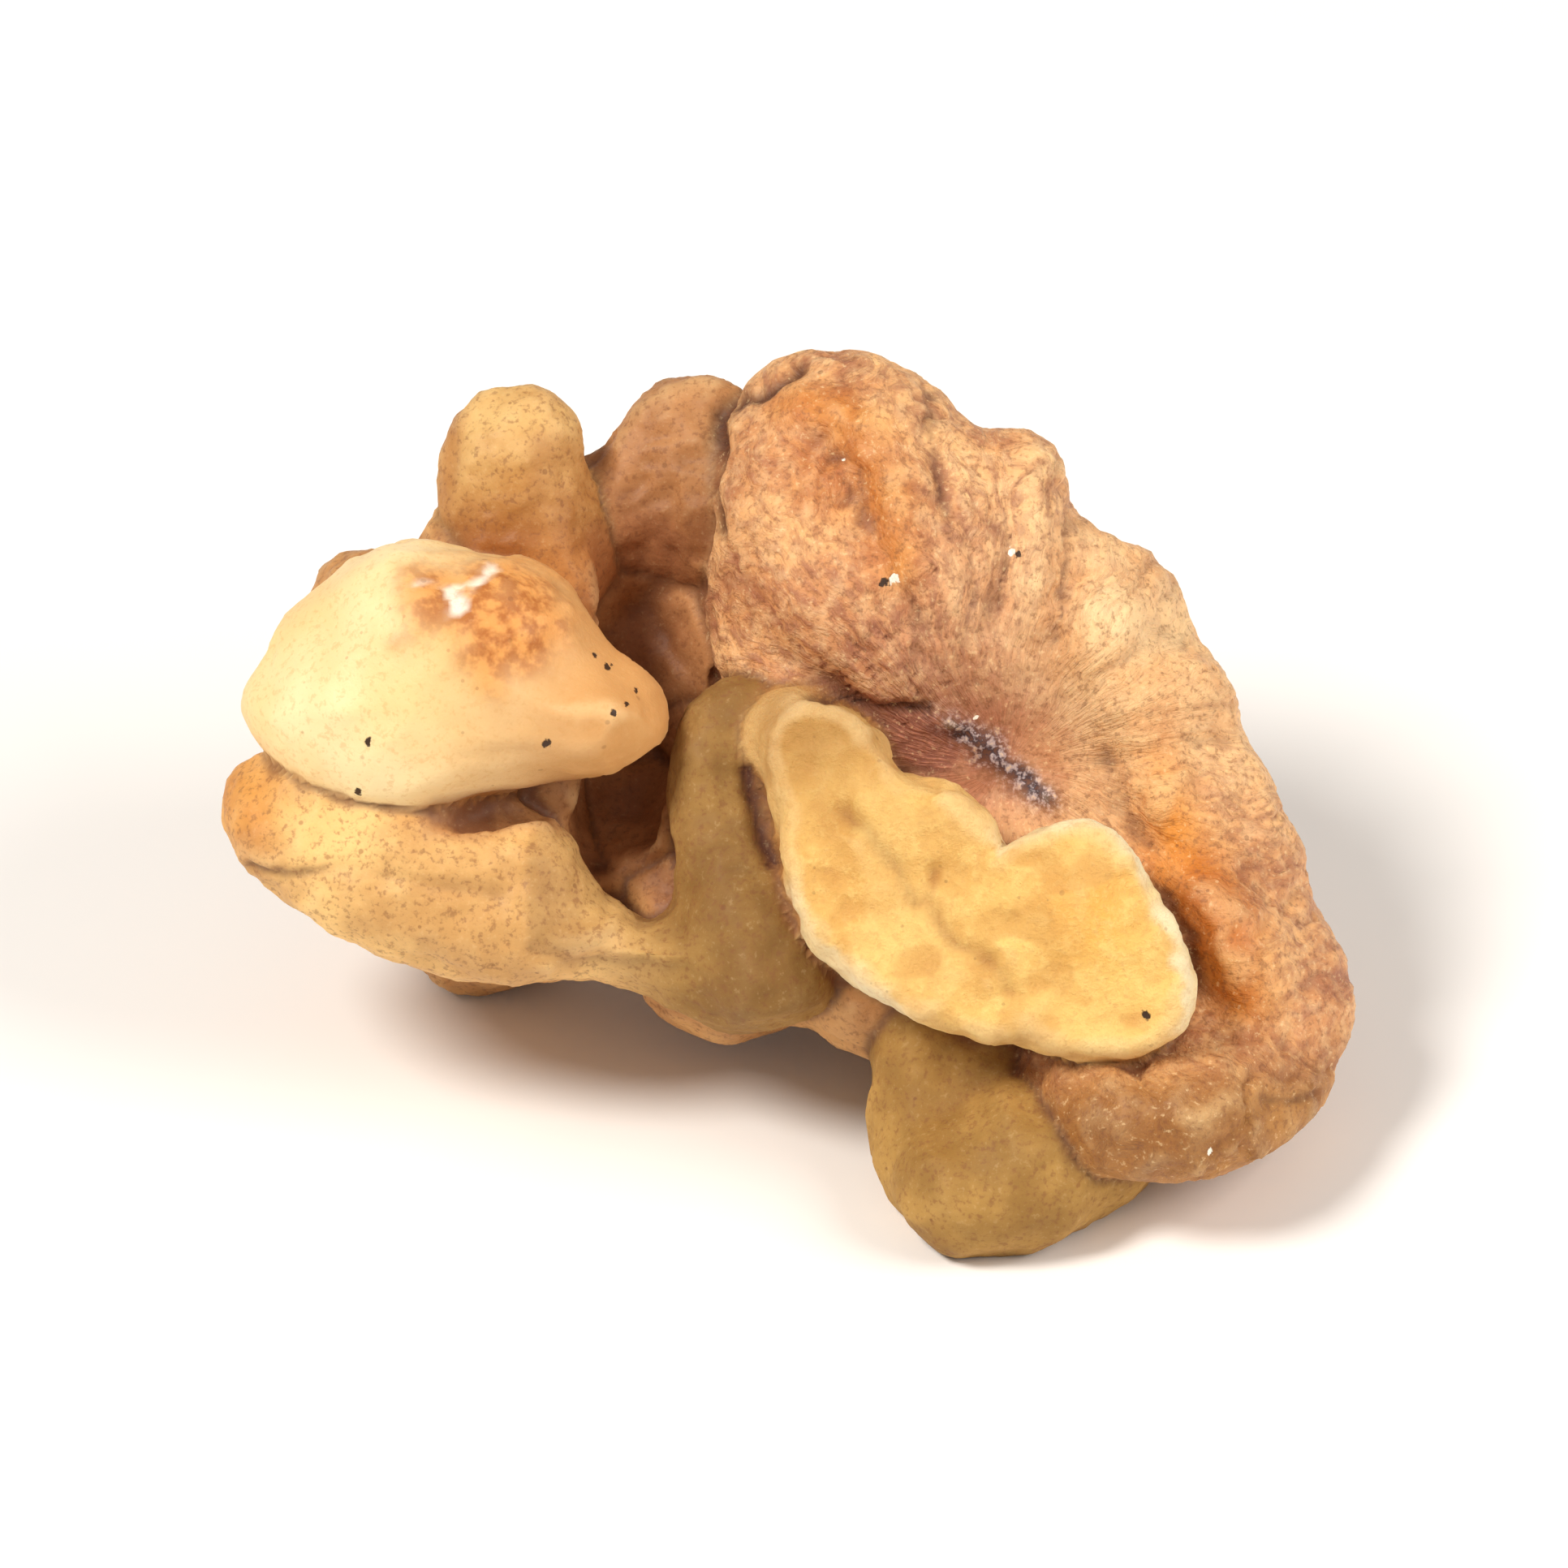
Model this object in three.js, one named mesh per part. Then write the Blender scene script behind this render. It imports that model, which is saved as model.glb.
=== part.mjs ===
import * as THREE from "three";
import { ImprovedNoise } from "three/addons/math/ImprovedNoise.js";

// Half of a walnut kernel, out of its shell: two lobed wings joined by a web. All lengths are in
// millimetres, +Z is up, and the kernel rests on z = 0, leaning back on its outer side.
// Places are [across, up, deep]: across is X, up runs up the leaning open side, deep runs into the kernel.

// Driving dimensions
const LEAN = 37;
const FAN_HALF_THICKNESS = 2.7;
const LEAF_HALF_THICKNESS = 1.8;
const LIP_HALF_THICKNESS = 2.4;
const PALE_LOBE_HALF_THICKNESS = 3.6;
const OUTER_FOLD_RADIUS = 2.7;
const OUTER_DEPTH = 10.8;
const FURROW_DEPTH = 0.65;
const CREASE_LENGTH = 5.2;
const CREASE_DEPTH = 0.8;
const CREASE_WIDTH = 0.19;
const WARP_LENGTH = 4.8;
const WARP_HEIGHT = 0.55;
const CELL = 0.78;

// Directions of the leaning open side
const { degToRad, clamp, lerp, smoothstep } = THREE.MathUtils;
const UP_SIDE = new THREE.Vector3(0, Math.sin(degToRad(LEAN)), Math.cos(degToRad(LEAN)));
const DEEP = new THREE.Vector3(0, Math.cos(degToRad(LEAN)), -Math.sin(degToRad(LEAN)));

function place(across, up, deep) {
  const spot = new THREE.Vector3(across, 0, 0);
  return spot.addScaledVector(UP_SIDE, up).addScaledVector(DEEP, deep);
}

// A roll is a soft rope along a curve through [across, up, deep, radius] points.
// Where lift is given, its underside stays that far above the surface it rests on.
function roll(points, blend, lift = null) {
  const spots = points.map(([across, up, deep, radius]) => {
    const spot = place(across, up, deep);
    if (lift !== null) spot.z = Math.max(spot.z, radius + lift);
    return spot;
  });
  const path = new THREE.CatmullRomCurve3(spots);
  const girths = points.map((point) => new THREE.Vector3(point[3], 0, 0));
  const girth = new THREE.CatmullRomCurve3(girths);
  const steps = (points.length - 1) * 4;
  const beads = [];
  for (let i = 0; i <= steps; i += 1) {
    beads.push({ at: path.getPoint(i / steps), radius: girth.getPoint(i / steps).x });
  }
  const distance = (p) => rollDistance(beads, p);
  return { distance, blend };
}

const along = new THREE.Vector3();
const offset = new THREE.Vector3();

function rollDistance(beads, p) {
  let nearest = Infinity;
  for (let i = 1; i < beads.length; i += 1) {
    const from = beads[i - 1];
    const to = beads[i];
    along.subVectors(to.at, from.at);
    offset.subVectors(p, from.at);
    const t = clamp(offset.dot(along) / along.lengthSq(), 0, 1);
    const distance = offset.addScaledVector(along, -t).length() - lerp(from.radius, to.radius, t);
    nearest = Math.min(nearest, distance);
  }
  return nearest;
}

// A leaf fills an outline of [across, up] points with a thickness that rounds off over its outer edge.
// middle(across, up, inset) is how deep its middle surface lies, inset being the way in from the edge.
function leaf(outline, middle, halfThickness, edge, blend) {
  const corners = outline.map(([across, up]) => new THREE.Vector3(across, up, 0));
  const curve = new THREE.CatmullRomCurve3(corners, true, "centripetal");
  const rim = curve.getPoints(outline.length * 3).slice(0, -1);
  const distance = (p) => {
    const up = p.dot(UP_SIDE);
    const inset = insetFrom(rim, p.x, up);
    const s = Math.max(1 - inset / edge, 0);
    const t = (p.dot(DEEP) - middle(p.x, up, inset)) / halfThickness;
    const size = Math.hypot(s, t);
    const slope = Math.hypot(s / edge, t / halfThickness);
    return slope > 1e-9 ? (size * (size - 1)) / slope : -Math.min(halfThickness, edge);
  };
  return { distance, blend };
}

function insetFrom(rim, across, up) {
  let nearest = Infinity;
  let inside = false;
  for (let i = 0; i < rim.length; i += 1) {
    const from = rim[i];
    const to = rim[(i + 1) % rim.length];
    const ex = to.x - from.x;
    const ey = to.y - from.y;
    const wx = across - from.x;
    const wy = up - from.y;
    const t = clamp((wx * ex + wy * ey) / (ex * ex + ey * ey), 0, 1);
    nearest = Math.min(nearest, Math.hypot(wx - ex * t, wy - ey * t));
    if (from.y > up !== to.y > up && wx < (ex * wy) / ey) inside = !inside;
  }
  return inside ? nearest : -nearest;
}

function hump(across, up, [centreAcross, centreUp, reach]) {
  const square = (across - centreAcross) ** 2 + (up - centreUp) ** 2;
  return Math.exp(-square / (reach * reach));
}

// Fan: the broad right wing, its skin pleated by furrows that run out from a scar
const SCAR = [6.6, 15.2];
const FURROW_ANGLES = [150, 118, 92, 70, 40, 8, -20, -45, -68, -92];
const FURROW_WIDTH = 7;
const FAN_OUTLINE = [
  [-1.2, 26.7], [0.2, 27.8], [2, 27.9], [3.9, 27.3], [5.6, 25.9], [7.3, 25.8], [8.6, 24.9], [9.1, 22.9],
  [11.4, 21.4], [12.2, 19.9], [13.6, 18.3], [14.1, 15.9], [15.3, 13.6], [16.2, 11.4], [17.1, 8.4],
  [16.7, 6], [15, 4], [12.8, 2.8], [10.6, 3.2], [8.9, 3.7], [6.1, 5.8], [4.6, 8.5], [2.6, 12],
  [0, 15.5], [-2.2, 18.3], [-2.5, 19.6], [-1.9, 22], [-1.7, 24.8],
];

function furrows(across, up) {
  const angle = THREE.MathUtils.radToDeg(Math.atan2(up - SCAR[1], across - SCAR[0]));
  const reach = smoothstep(Math.hypot(across - SCAR[0], up - SCAR[1]), 2, 8);
  const depth = FURROW_ANGLES.map((furrow) => Math.exp(-(((angle - furrow) / FURROW_WIDTH) ** 2)));
  return reach * Math.max(...depth);
}

function fanMiddle(across, up, inset) {
  const upperBulge = -2 * hump(across, up, [2.6, 21.5, 4.5]);
  const lowerBulge = -1.4 * hump(across, up, [12.5, 9.5, 4.5]);
  const scarHollow = 1 * hump(across, up, [6.8, 14.8, 2.8]);
  const toTheFloor = -3.2 * smoothstep(9 - up, 0, 6);
  const rolledEdge = -0.5 * Math.exp(-(((inset - 2.6) / 1.3) ** 2)) * smoothstep(across, 6, 10);
  const furrow = FURROW_DEPTH * furrows(across, up);
  return 5.2 + upperBulge + lowerBulge + scarHollow + toTheFloor + rolledEdge + furrow;
}

const fan = [leaf(FAN_OUTLINE, fanMiddle, FAN_HALF_THICKNESS, 3.6, 0.8)];

// Broken leaf: two thick flakes with a crease between them, standing off the fan
const LEFT_FLAKE_OUTLINE = [
  [-0.4, 16.4], [0.6, 17.6], [2.4, 17], [3.7, 15.4], [5.3, 15], [6.5, 13.6], [7, 10.4], [6.9, 7.3],
  [4.2, 7.8], [2.9, 8.5], [1.4, 9.6], [0.1, 11.1], [-0.4, 12.9], [-0.1, 14.4],
];
const RIGHT_FLAKE_OUTLINE = [
  [5.4, 12.4], [7.1, 13.4], [9.2, 13.7], [10.8, 12.8], [11.7, 11.4], [12.5, 9.6], [12.1, 7.9],
  [10.6, 6.9], [9, 6.8], [6.9, 7.3], [5.2, 8.8], [4.8, 10.8],
];
const leftFlakeMiddle = (across, up) => 0.4 + 1.2 * hump(across, up, [0, 18, 3]);
const rightFlakeMiddle = (across, up) => 0.7 - 0.08 * across - 0.5 * hump(across, up, [8.9, 11, 1.8]);
const brokenLeaf = [
  roll([[-0.6, 16.1, 2.2, 1.5], [0.6, 16, 1.4, 1.6], [2, 15.6, 1.2, 1.5]], 0.9),
  leaf(LEFT_FLAKE_OUTLINE, leftFlakeMiddle, LEAF_HALF_THICKNESS, 1.5, 0.6),
  leaf(RIGHT_FLAKE_OUTLINE, rightFlakeMiddle, LEAF_HALF_THICKNESS, 1.7, 0.6),
];

// Knob and web: the neck that joins the two wings at the top
const knob = [roll([[-7.8, 24.8, 5.2, 2.2], [-7.6, 22.2, 5.8, 2.5], [-7.3, 18.5, 7, 3]], 0.8)];
const web = [
  roll([[-7, 22, 7.8, 2.3], [-4.4, 23.1, 7.8, 2.5], [-1.2, 23.6, 7.2, 2.8]], 1.2),
  roll([[-2.6, 25, 7.2, 2.3], [-1, 22.6, 7.4, 2.4]], 1),
];

// Pale lobe: the plump front of the left wing
const PALE_LOBE_OUTLINE = [
  [-15.9, 16.9], [-15.2, 18.8], [-14, 21], [-12.3, 22.1], [-10.8, 22.3], [-8.7, 21.7], [-6.6, 20.7],
  [-5.4, 19.3], [-3.8, 17.9], [-3.5, 16.6], [-4.7, 15.4], [-6.6, 14.8], [-10, 14.3], [-12.6, 14.1],
  [-14.9, 15.1],
];
const paleMiddle = (across) => 1.3 - 0.06 * across;
const paleLobe = [leaf(PALE_LOBE_OUTLINE, paleMiddle, PALE_LOBE_HALF_THICKNESS, 4.2, 0.8)];

// Lip: the long beak below the pale lobe, turning up into a column beside the broken leaf
const LIP_OUTLINE = [
  [-17, 14.5], [-15.6, 15.6], [-13, 15.8], [-10, 15], [-7.7, 13.9], [-6.4, 12.7], [-4.7, 11.1],
  [-3.6, 10.9], [-3, 12.2], [-3.5, 14.5], [-3.2, 16.8], [-2, 18], [-0.4, 17.8], [0.6, 14.5], [1.5, 10.6],
  [1.6, 8.6], [0.2, 7.6], [-1.5, 7.4], [-2.8, 8], [-4.2, 8.8], [-7.4, 9], [-10.3, 9.2], [-12.3, 9.8],
  [-15.2, 11.9], [-16.7, 13.2],
];

function lipMiddle(across, up) {
  const beakBulge = -0.5 * hump(across, up, [-10, 12, 4]);
  const columnTop = 0.5 * hump(across, up, [-2, 17, 3]);
  const columnFoot = -0.8 * hump(across, up, [-1.2, 9.8, 3]);
  return 3.2 + beakBulge + columnTop + columnFoot;
}

const lip = [leaf(LIP_OUTLINE, lipMiddle, LIP_HALF_THICKNESS, 2.3, 0.6)];

// Foot: a short column and a blunt toe under the broken leaf, pressed flat where the kernel rests
const FOOT_OUTLINE = [
  [2.9, 9], [2.7, 6], [2.8, 3], [4, 1.6], [8, 2], [11.5, 4], [11, 7], [8, 9.5], [5, 10],
];
const foot = [
  leaf(FOOT_OUTLINE, (across, up) => 1.9 + 0.25 * up, 2.1, 2.2, 0.9),
  roll([[5.3, 2.6, 0.9, 2.1], [7.2, 2.9, 0.7, 2.5]], 0.9, -0.3),
  roll([[7.2, 3.1, 1.4, 2.3], [10.2, 3.4, 2, 2.2]], 0.9, -0.2),
];

// Outer side: folds that run out from the middle of each wing, as on the hidden convex side
const RIGHT_FOLDS = {
  centre: [6.4, 15.4], long: 9.4, short: 4.6, turn: -58,
  angles: [0, 36, 74, 108, 144, 178, 212, 248, 284, 322],
};
const LEFT_FOLDS = {
  centre: [-8.6, 16.2], long: 5.3, short: 4.7, turn: 90,
  angles: [0, 50, 100, 150, 200, 250, 300],
};

function outerFolds({ centre, long, short, turn, angles }) {
  return angles.map((angle, count) => {
    const reach = new THREE.Vector2(long * Math.cos(degToRad(angle)), short * Math.sin(degToRad(angle)));
    reach.rotateAround(new THREE.Vector2(), degToRad(turn));
    const at = (share) => [centre[0] + reach.x * share, centre[1] + reach.y * share];
    const even = count % 2;
    return roll([
      [...at(0.15), OUTER_DEPTH, OUTER_FOLD_RADIUS * 0.85],
      [...at(0.6), OUTER_DEPTH - 0.8 + 0.5 * even, OUTER_FOLD_RADIUS],
      [...at(1), OUTER_DEPTH - 4.6, OUTER_FOLD_RADIUS * 0.85],
    ], 0.7, 1.3 - 0.9 * even);
  });
}

const outerSide = [
  ...outerFolds(RIGHT_FOLDS),
  ...outerFolds(LEFT_FOLDS),
  roll([[-2.4, 22.4, 9.4, 2.6], [-1.8, 17, 10.2, 3], [-1.6, 11, 7.6, 3]], 1.6, 1.2),
  roll([[-8.5, 11.5, 10, 3], [-9, 9.5, 12, 2.6]], 0.9, -0.3),
  roll([[9, 11.5, 11, 3], [9.5, 10.5, 13, 2.6]], 0.9, -0.3),
];

// Flesh between the open side and the outer side
const flesh = [
  roll([[7.5, 18.5, 8, 4.4], [6.5, 10, 6.5, 4.2]], 2, 1.3),
  roll([[-9.2, 17.8, 7.6, 4.4], [-8.5, 12.5, 6.5, 3.4]], 2, 1.5),
  roll([[-2, 17.5, 10.2, 3.2], [-1.5, 10.5, 6.4, 3.2]], 2, 1.5),
  roll([[-4.5, 13, 8.6, 2.8], [1.6, 13, 8.4, 3.2], [3, 9.5, 4.6, 2.8]], 2, 1.6),
  roll([[-5.5, 21, 9.4, 2.8], [0, 21, 9.4, 3], [4, 20, 9, 3]], 1.5),
  roll([[0.6, 14, 4.2, 2.2], [2.8, 11, 3.8, 2.4], [6.5, 9.4, 3.8, 2.4]], 1.2),
];

// Recesses: the dark valley between the pale lobe, the column, the knob and the fan, and the narrow
// gap between the column and the broken leaf
const recesses = [
  roll([[-4.3, 21.6, 3, 1.2], [-4, 18.6, 4.6, 1.5], [-4.7, 15.4, 4.6, 1.5], [-5.3, 13.4, 3.6, 1.2]], 0.8),
  roll([[-0.8, 15.2, -0.4, 0.6], [-1, 13, -0.4, 0.7], [-0.6, 10.8, -0.6, 0.7], [0.8, 9, -0.6, 0.7]], 0.5),
];

// Joins two distances with a fillet about as wide as blend.
function join(a, b, blend) {
  const overlap = Math.max(blend - Math.abs(a - b), 0);
  return Math.min(a, b) - (overlap * overlap) / (4 * blend);
}

// The whole kernel as one distance, below zero inside
const lobes = [flesh, outerSide, web, fan, knob, lip, paleLobe, foot, brokenLeaf].flat();
const FAR = 100;
const noise = new ImprovedNoise();
const warped = new THREE.Vector3();

function kernelDistance(p) {
  const x = p.x / WARP_LENGTH;
  const y = p.y / WARP_LENGTH;
  const z = p.z / WARP_LENGTH;
  warped.set(noise.noise(x, y, z), noise.noise(x + 31, y, z), noise.noise(x, y + 57, z));
  warped.multiplyScalar(WARP_HEIGHT).add(p);
  let distance = FAR;
  for (const lobe of lobes) distance = join(distance, lobe.distance(warped), lobe.blend);
  for (const recess of recesses) distance = -join(-distance, recess.distance(warped), recess.blend);
  return distance + CREASE_DEPTH * creases(warped);
}

// Winding creases of the outer side, along the lines where a noise changes sign
function creases(p) {
  const level = noise.noise(p.x / CREASE_LENGTH, p.y / CREASE_LENGTH + 91, p.z / CREASE_LENGTH);
  return smoothstep(p.dot(DEEP), 6, 9.5) * Math.exp(-((level / CREASE_WIDTH) ** 2));
}

// Skin: one point in each grid cell that the surface crosses, joined by quads across the grid's edges.
// Where two sheets of the surface share a cell, each sheet gets a point of its own.
const CORNERS = [0, 1].flatMap((z) => [0, 1].flatMap((y) => [0, 1].map((x) => [x, y, z])));
const EDGES = CORNERS.flatMap((corner, from) =>
  [0, 1, 2].filter((axis) => !corner[axis]).map((axis) => ({ from, to: from | (1 << axis), axis })),
);
const FACES = [0, 1, 2].flatMap((axis) =>
  [0, 1].map((side) =>
    EDGES.map((_, number) => number).filter((number) => {
      const { from, to } = EDGES[number];
      return CORNERS[from][axis] === side && CORNERS[to][axis] === side;
    }),
  ),
);
const edgeNumber = (from, axis) => EDGES.findIndex((edge) => edge.from === from && edge.axis === axis);

// Gives each crossed edge of a cell the number of the sheet that it belongs to.
function sheetsOf(corners, crossed) {
  const sheet = EDGES.map((_, number) => number);
  const join = (first, second) => {
    const [old, kept] = [sheet[second], sheet[first]];
    sheet.forEach((value, number) => {
      if (value === old) sheet[number] = kept;
    });
  };
  for (const face of FACES) {
    const cut = face.filter((number) => crossed[number]);
    if (cut.length === 2) join(cut[0], cut[1]);
    if (cut.length < 4) continue;
    for (let corner = 0; corner < 8; corner += 1) {
      const touching = cut.filter((number) => EDGES[number].from === corner || EDGES[number].to === corner);
      if (corners[corner] < 0 && touching.length === 2) join(touching[0], touching[1]);
    }
  }
  return sheet;
}

function skin(distance, low, high, cell) {
  const counts = high.clone().sub(low).divideScalar(cell).ceil().addScalar(1);
  const at = (i, j, k) => i + counts.x * (j + counts.y * k);
  const values = new Float64Array(counts.x * counts.y * counts.z);
  const point = new THREE.Vector3();
  for (let k = 0; k < counts.z; k += 1) {
    for (let j = 0; j < counts.y; j += 1) {
      for (let i = 0; i < counts.x; i += 1) {
        values[at(i, j, k)] = distance(point.set(i, j, k).multiplyScalar(cell).add(low));
      }
    }
  }
  const points = [];
  const pointOfEdge = new Map();
  for (let k = 0; k < counts.z - 1; k += 1) {
    for (let j = 0; j < counts.y - 1; j += 1) {
      for (let i = 0; i < counts.x - 1; i += 1) {
        const corners = CORNERS.map(([x, y, z]) => values[at(i + x, j + y, k + z)]);
        const crossed = EDGES.map(({ from, to }) => corners[from] < 0 !== corners[to] < 0);
        if (!crossed.includes(true)) continue;
        const sheet = sheetsOf(corners, crossed);
        for (const number of new Set(sheet.filter((_, edge) => crossed[edge]))) {
          const own = EDGES.filter((_, edge) => crossed[edge] && sheet[edge] === number);
          const middle = new THREE.Vector3();
          for (const { from, to, axis } of own) {
            const crossing = new THREE.Vector3(...CORNERS[from]);
            crossing.setComponent(axis, corners[from] / (corners[from] - corners[to]));
            middle.add(crossing);
          }
          middle.divideScalar(own.length).add(new THREE.Vector3(i, j, k));
          points.push(middle.multiplyScalar(cell).add(low));
          EDGES.forEach((_, edge) => {
            if (!crossed[edge] || sheet[edge] !== number) return;
            pointOfEdge.set(at(i, j, k) * 12 + edge, points.length - 1);
          });
        }
      }
    }
  }
  return { points, quads: quadsAcross(values, counts, at, pointOfEdge) };
}

function quadsAcross(values, counts, at, pointOfEdge) {
  const quads = [];
  const around = [[0, 0], [1, 0], [1, 1], [0, 1]];
  for (let k = 1; k < counts.z - 1; k += 1) {
    for (let j = 1; j < counts.y - 1; j += 1) {
      for (let i = 1; i < counts.x - 1; i += 1) {
        for (let axis = 0; axis < 3; axis += 1) {
          const next = [i, j, k];
          next[axis] += 1;
          const inside = values[at(i, j, k)] < 0;
          if (inside === values[at(...next)] < 0) continue;
          const second = (axis + 1) % 3;
          const third = (axis + 2) % 3;
          const quad = around.map(([b, c]) => {
            const cell = [i, j, k];
            cell[second] -= 1 - b;
            cell[third] -= 1 - c;
            const corner = ((1 - b) << second) | ((1 - c) << third);
            return pointOfEdge.get(at(...cell) * 12 + edgeNumber(corner, axis));
          });
          quads.push(inside ? quad : quad.reverse());
        }
      }
    }
  }
  return quads;
}

// Keeps the largest closed sheet, so that no hollow is left sealed inside.
function outerSheet({ points, quads }) {
  const next = points.map((_, number) => number);
  const first = (number) => {
    while (next[number] !== number) number = next[number];
    return number;
  };
  for (const quad of quads) {
    for (const number of quad) next[first(number)] = first(quad[0]);
  }
  const sizes = new Map();
  for (const quad of quads) sizes.set(first(quad[0]), (sizes.get(first(quad[0])) || 0) + 1);
  const largest = [...sizes].sort((a, b) => b[1] - a[1])[0][0];
  const kept = points.map((_, number) => number).filter((number) => first(number) === largest);
  const renumbered = new Map(kept.map((number, order) => [number, order]));
  const keptQuads = quads.filter((quad) => first(quad[0]) === largest);
  return {
    points: kept.map((number) => points[number]),
    quads: keptQuads.map((quad) => quad.map((number) => renumbered.get(number))),
  };
}

// Moves each point on to the surface, along the slope of the distance.
const STEP = 0.02;
const ahead = new THREE.Vector3();
const behind = new THREE.Vector3();

function slopeAt(p) {
  const slope = new THREE.Vector3();
  for (let axis = 0; axis < 3; axis += 1) {
    ahead.copy(p).setComponent(axis, p.getComponent(axis) + STEP);
    behind.copy(p).setComponent(axis, p.getComponent(axis) - STEP);
    slope.setComponent(axis, (kernelDistance(ahead) - kernelDistance(behind)) / (2 * STEP));
  }
  return slope;
}

function settle(points, furthest) {
  for (const point of points) {
    const slope = slopeAt(point);
    const move = clamp(kernelDistance(point), -furthest, furthest);
    point.addScaledVector(slope, -move / Math.max(slope.lengthSq(), 0.25));
  }
}

// Evens the spacing of the points by moving each one part of the way to the middle of its neighbours.
function relax(points, quads, share) {
  const sums = points.map(() => new THREE.Vector3());
  const counts = points.map(() => 0);
  for (const quad of quads) {
    quad.forEach((number, corner) => {
      sums[number].add(points[quad[(corner + 1) % 4]]);
      counts[number] += 1;
    });
  }
  points.forEach((point, number) => point.lerp(sums[number].divideScalar(counts[number]), share));
}

const GRID_LOW = new THREE.Vector3(-20, -6, -4);
const GRID_HIGH = new THREE.Vector3(20, 30, 26);
const { points, quads } = outerSheet(skin(kernelDistance, GRID_LOW, GRID_HIGH, CELL));
settle(points, CELL / 3);
for (let pass = 0; pass < 4; pass += 1) {
  relax(points, quads, 0.5);
  settle(points, CELL / 5);
}
for (let pass = 0; pass < 2; pass += 1) relax(points, quads, 0.4);

// Flat spots where the kernel rests
for (const point of points) point.z = Math.max(point.z, 0);

// Each quad becomes two triangles across its shorter diagonal, unless that line is already an edge.
const lineKey = (from, to) => Math.min(from, to) * points.length + Math.max(from, to);
const sidesOf = (quad) => quad.map((from, corner) => lineKey(from, quad[(corner + 1) % 4]));
const lines = new Set(quads.flatMap(sidesOf));
const triangles = quads.flatMap(([a, b, c, d]) => {
  const shorter = points[a].distanceTo(points[c]) <= points[b].distanceTo(points[d]);
  const first = shorter ? !lines.has(lineKey(a, c)) : lines.has(lineKey(b, d));
  lines.add(first ? lineKey(a, c) : lineKey(b, d));
  return first ? [a, b, c, a, c, d] : [a, b, d, b, c, d];
});
const geometry = new THREE.BufferGeometry().setFromPoints(points).setIndex(triangles);
const kernelSkin = new THREE.MeshStandardMaterial({ color: 0xcf9a62, roughness: 0.5, metalness: 0 });
const kernel = new THREE.Mesh(geometry, kernelSkin);
kernel.name = "walnut_kernel";

// The origin is under the middle of the kernel, on the surface that it rests on.
const middle = new THREE.Box3().setFromPoints(points).getCenter(new THREE.Vector3());
kernel.position.set(-middle.x, -middle.y, 0);

const walnutHalf = new THREE.Group();
walnutHalf.add(kernel);
export default walnutHalf;
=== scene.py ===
# A walnut kernel out of its shell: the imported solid's skin, made fine enough for its crisp broken edges,
# fibres, furrows and creases, and finished with one procedural material.
import math

import bmesh
import bpy
import numpy as np
from mathutils import Matrix, Vector


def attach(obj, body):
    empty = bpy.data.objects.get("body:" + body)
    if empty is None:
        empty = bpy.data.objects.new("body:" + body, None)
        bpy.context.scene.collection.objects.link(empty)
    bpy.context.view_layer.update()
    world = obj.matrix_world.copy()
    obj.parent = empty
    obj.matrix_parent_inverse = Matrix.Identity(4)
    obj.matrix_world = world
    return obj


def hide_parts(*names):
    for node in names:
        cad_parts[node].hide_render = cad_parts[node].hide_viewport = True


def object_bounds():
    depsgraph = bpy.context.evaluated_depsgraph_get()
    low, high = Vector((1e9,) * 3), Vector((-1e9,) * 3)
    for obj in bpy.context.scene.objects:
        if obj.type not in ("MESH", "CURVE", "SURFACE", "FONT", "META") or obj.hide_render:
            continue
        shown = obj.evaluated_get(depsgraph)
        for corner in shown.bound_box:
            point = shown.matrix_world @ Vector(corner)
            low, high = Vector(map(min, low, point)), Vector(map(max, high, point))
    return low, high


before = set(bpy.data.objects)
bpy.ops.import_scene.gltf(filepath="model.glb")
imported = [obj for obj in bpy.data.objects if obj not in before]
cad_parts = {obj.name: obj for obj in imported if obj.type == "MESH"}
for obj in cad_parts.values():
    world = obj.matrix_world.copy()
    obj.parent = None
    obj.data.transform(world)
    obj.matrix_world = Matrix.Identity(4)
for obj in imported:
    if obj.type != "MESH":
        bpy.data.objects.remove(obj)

packed_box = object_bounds()

# Sizes are in millimetres until a mesh is made. Places are (across, up, deep) as in the part's source:
# across is X, up runs up the leaning open side, deep runs into the kernel.
MM = 0.001
LEAN = math.radians(37)
UP_SIDE = np.array([0.0, math.sin(LEAN), math.cos(LEAN)])
DEEP = np.array([0.0, math.cos(LEAN), -math.sin(LEAN)])
DRAWN_FROM = np.array([0.08328, 11.69176, 0.0])

# The fine skin: its cells in the first and the last rounds, and how soft a border between two lobes is
MERGE_GAP = 0.002
COARSE_CELL = 0.3
SKIN_CELL = 0.187
SHARE_WIDTH = 0.07

# The lobes' gentle bends, the creases of the convex side, and its folds
WARP_LENGTH = 4.8
WARP_HEIGHT = 0.55
CREASE_LENGTH = 5.2
CREASE_DEPTH = 0.9
CREASE_WIDTH = 0.19
OUTER_DEPTH = 10.8
OUTER_FOLD_RADIUS = 2.7

# Floor and camera, in metres but for the sensor
FLOOR_SIZE = 2.0
SENSOR_WIDTH = 36
CAMERA_DISTANCE = 0.6
CAMERA_ANGLE = math.radians(37)
FRAME_WIDTH = 0.047


def smooth_ramp(value, low, high):
    t = np.clip((value - low) / (high - low), 0.0, 1.0)
    return t * t * (3 - 2 * t)


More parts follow.
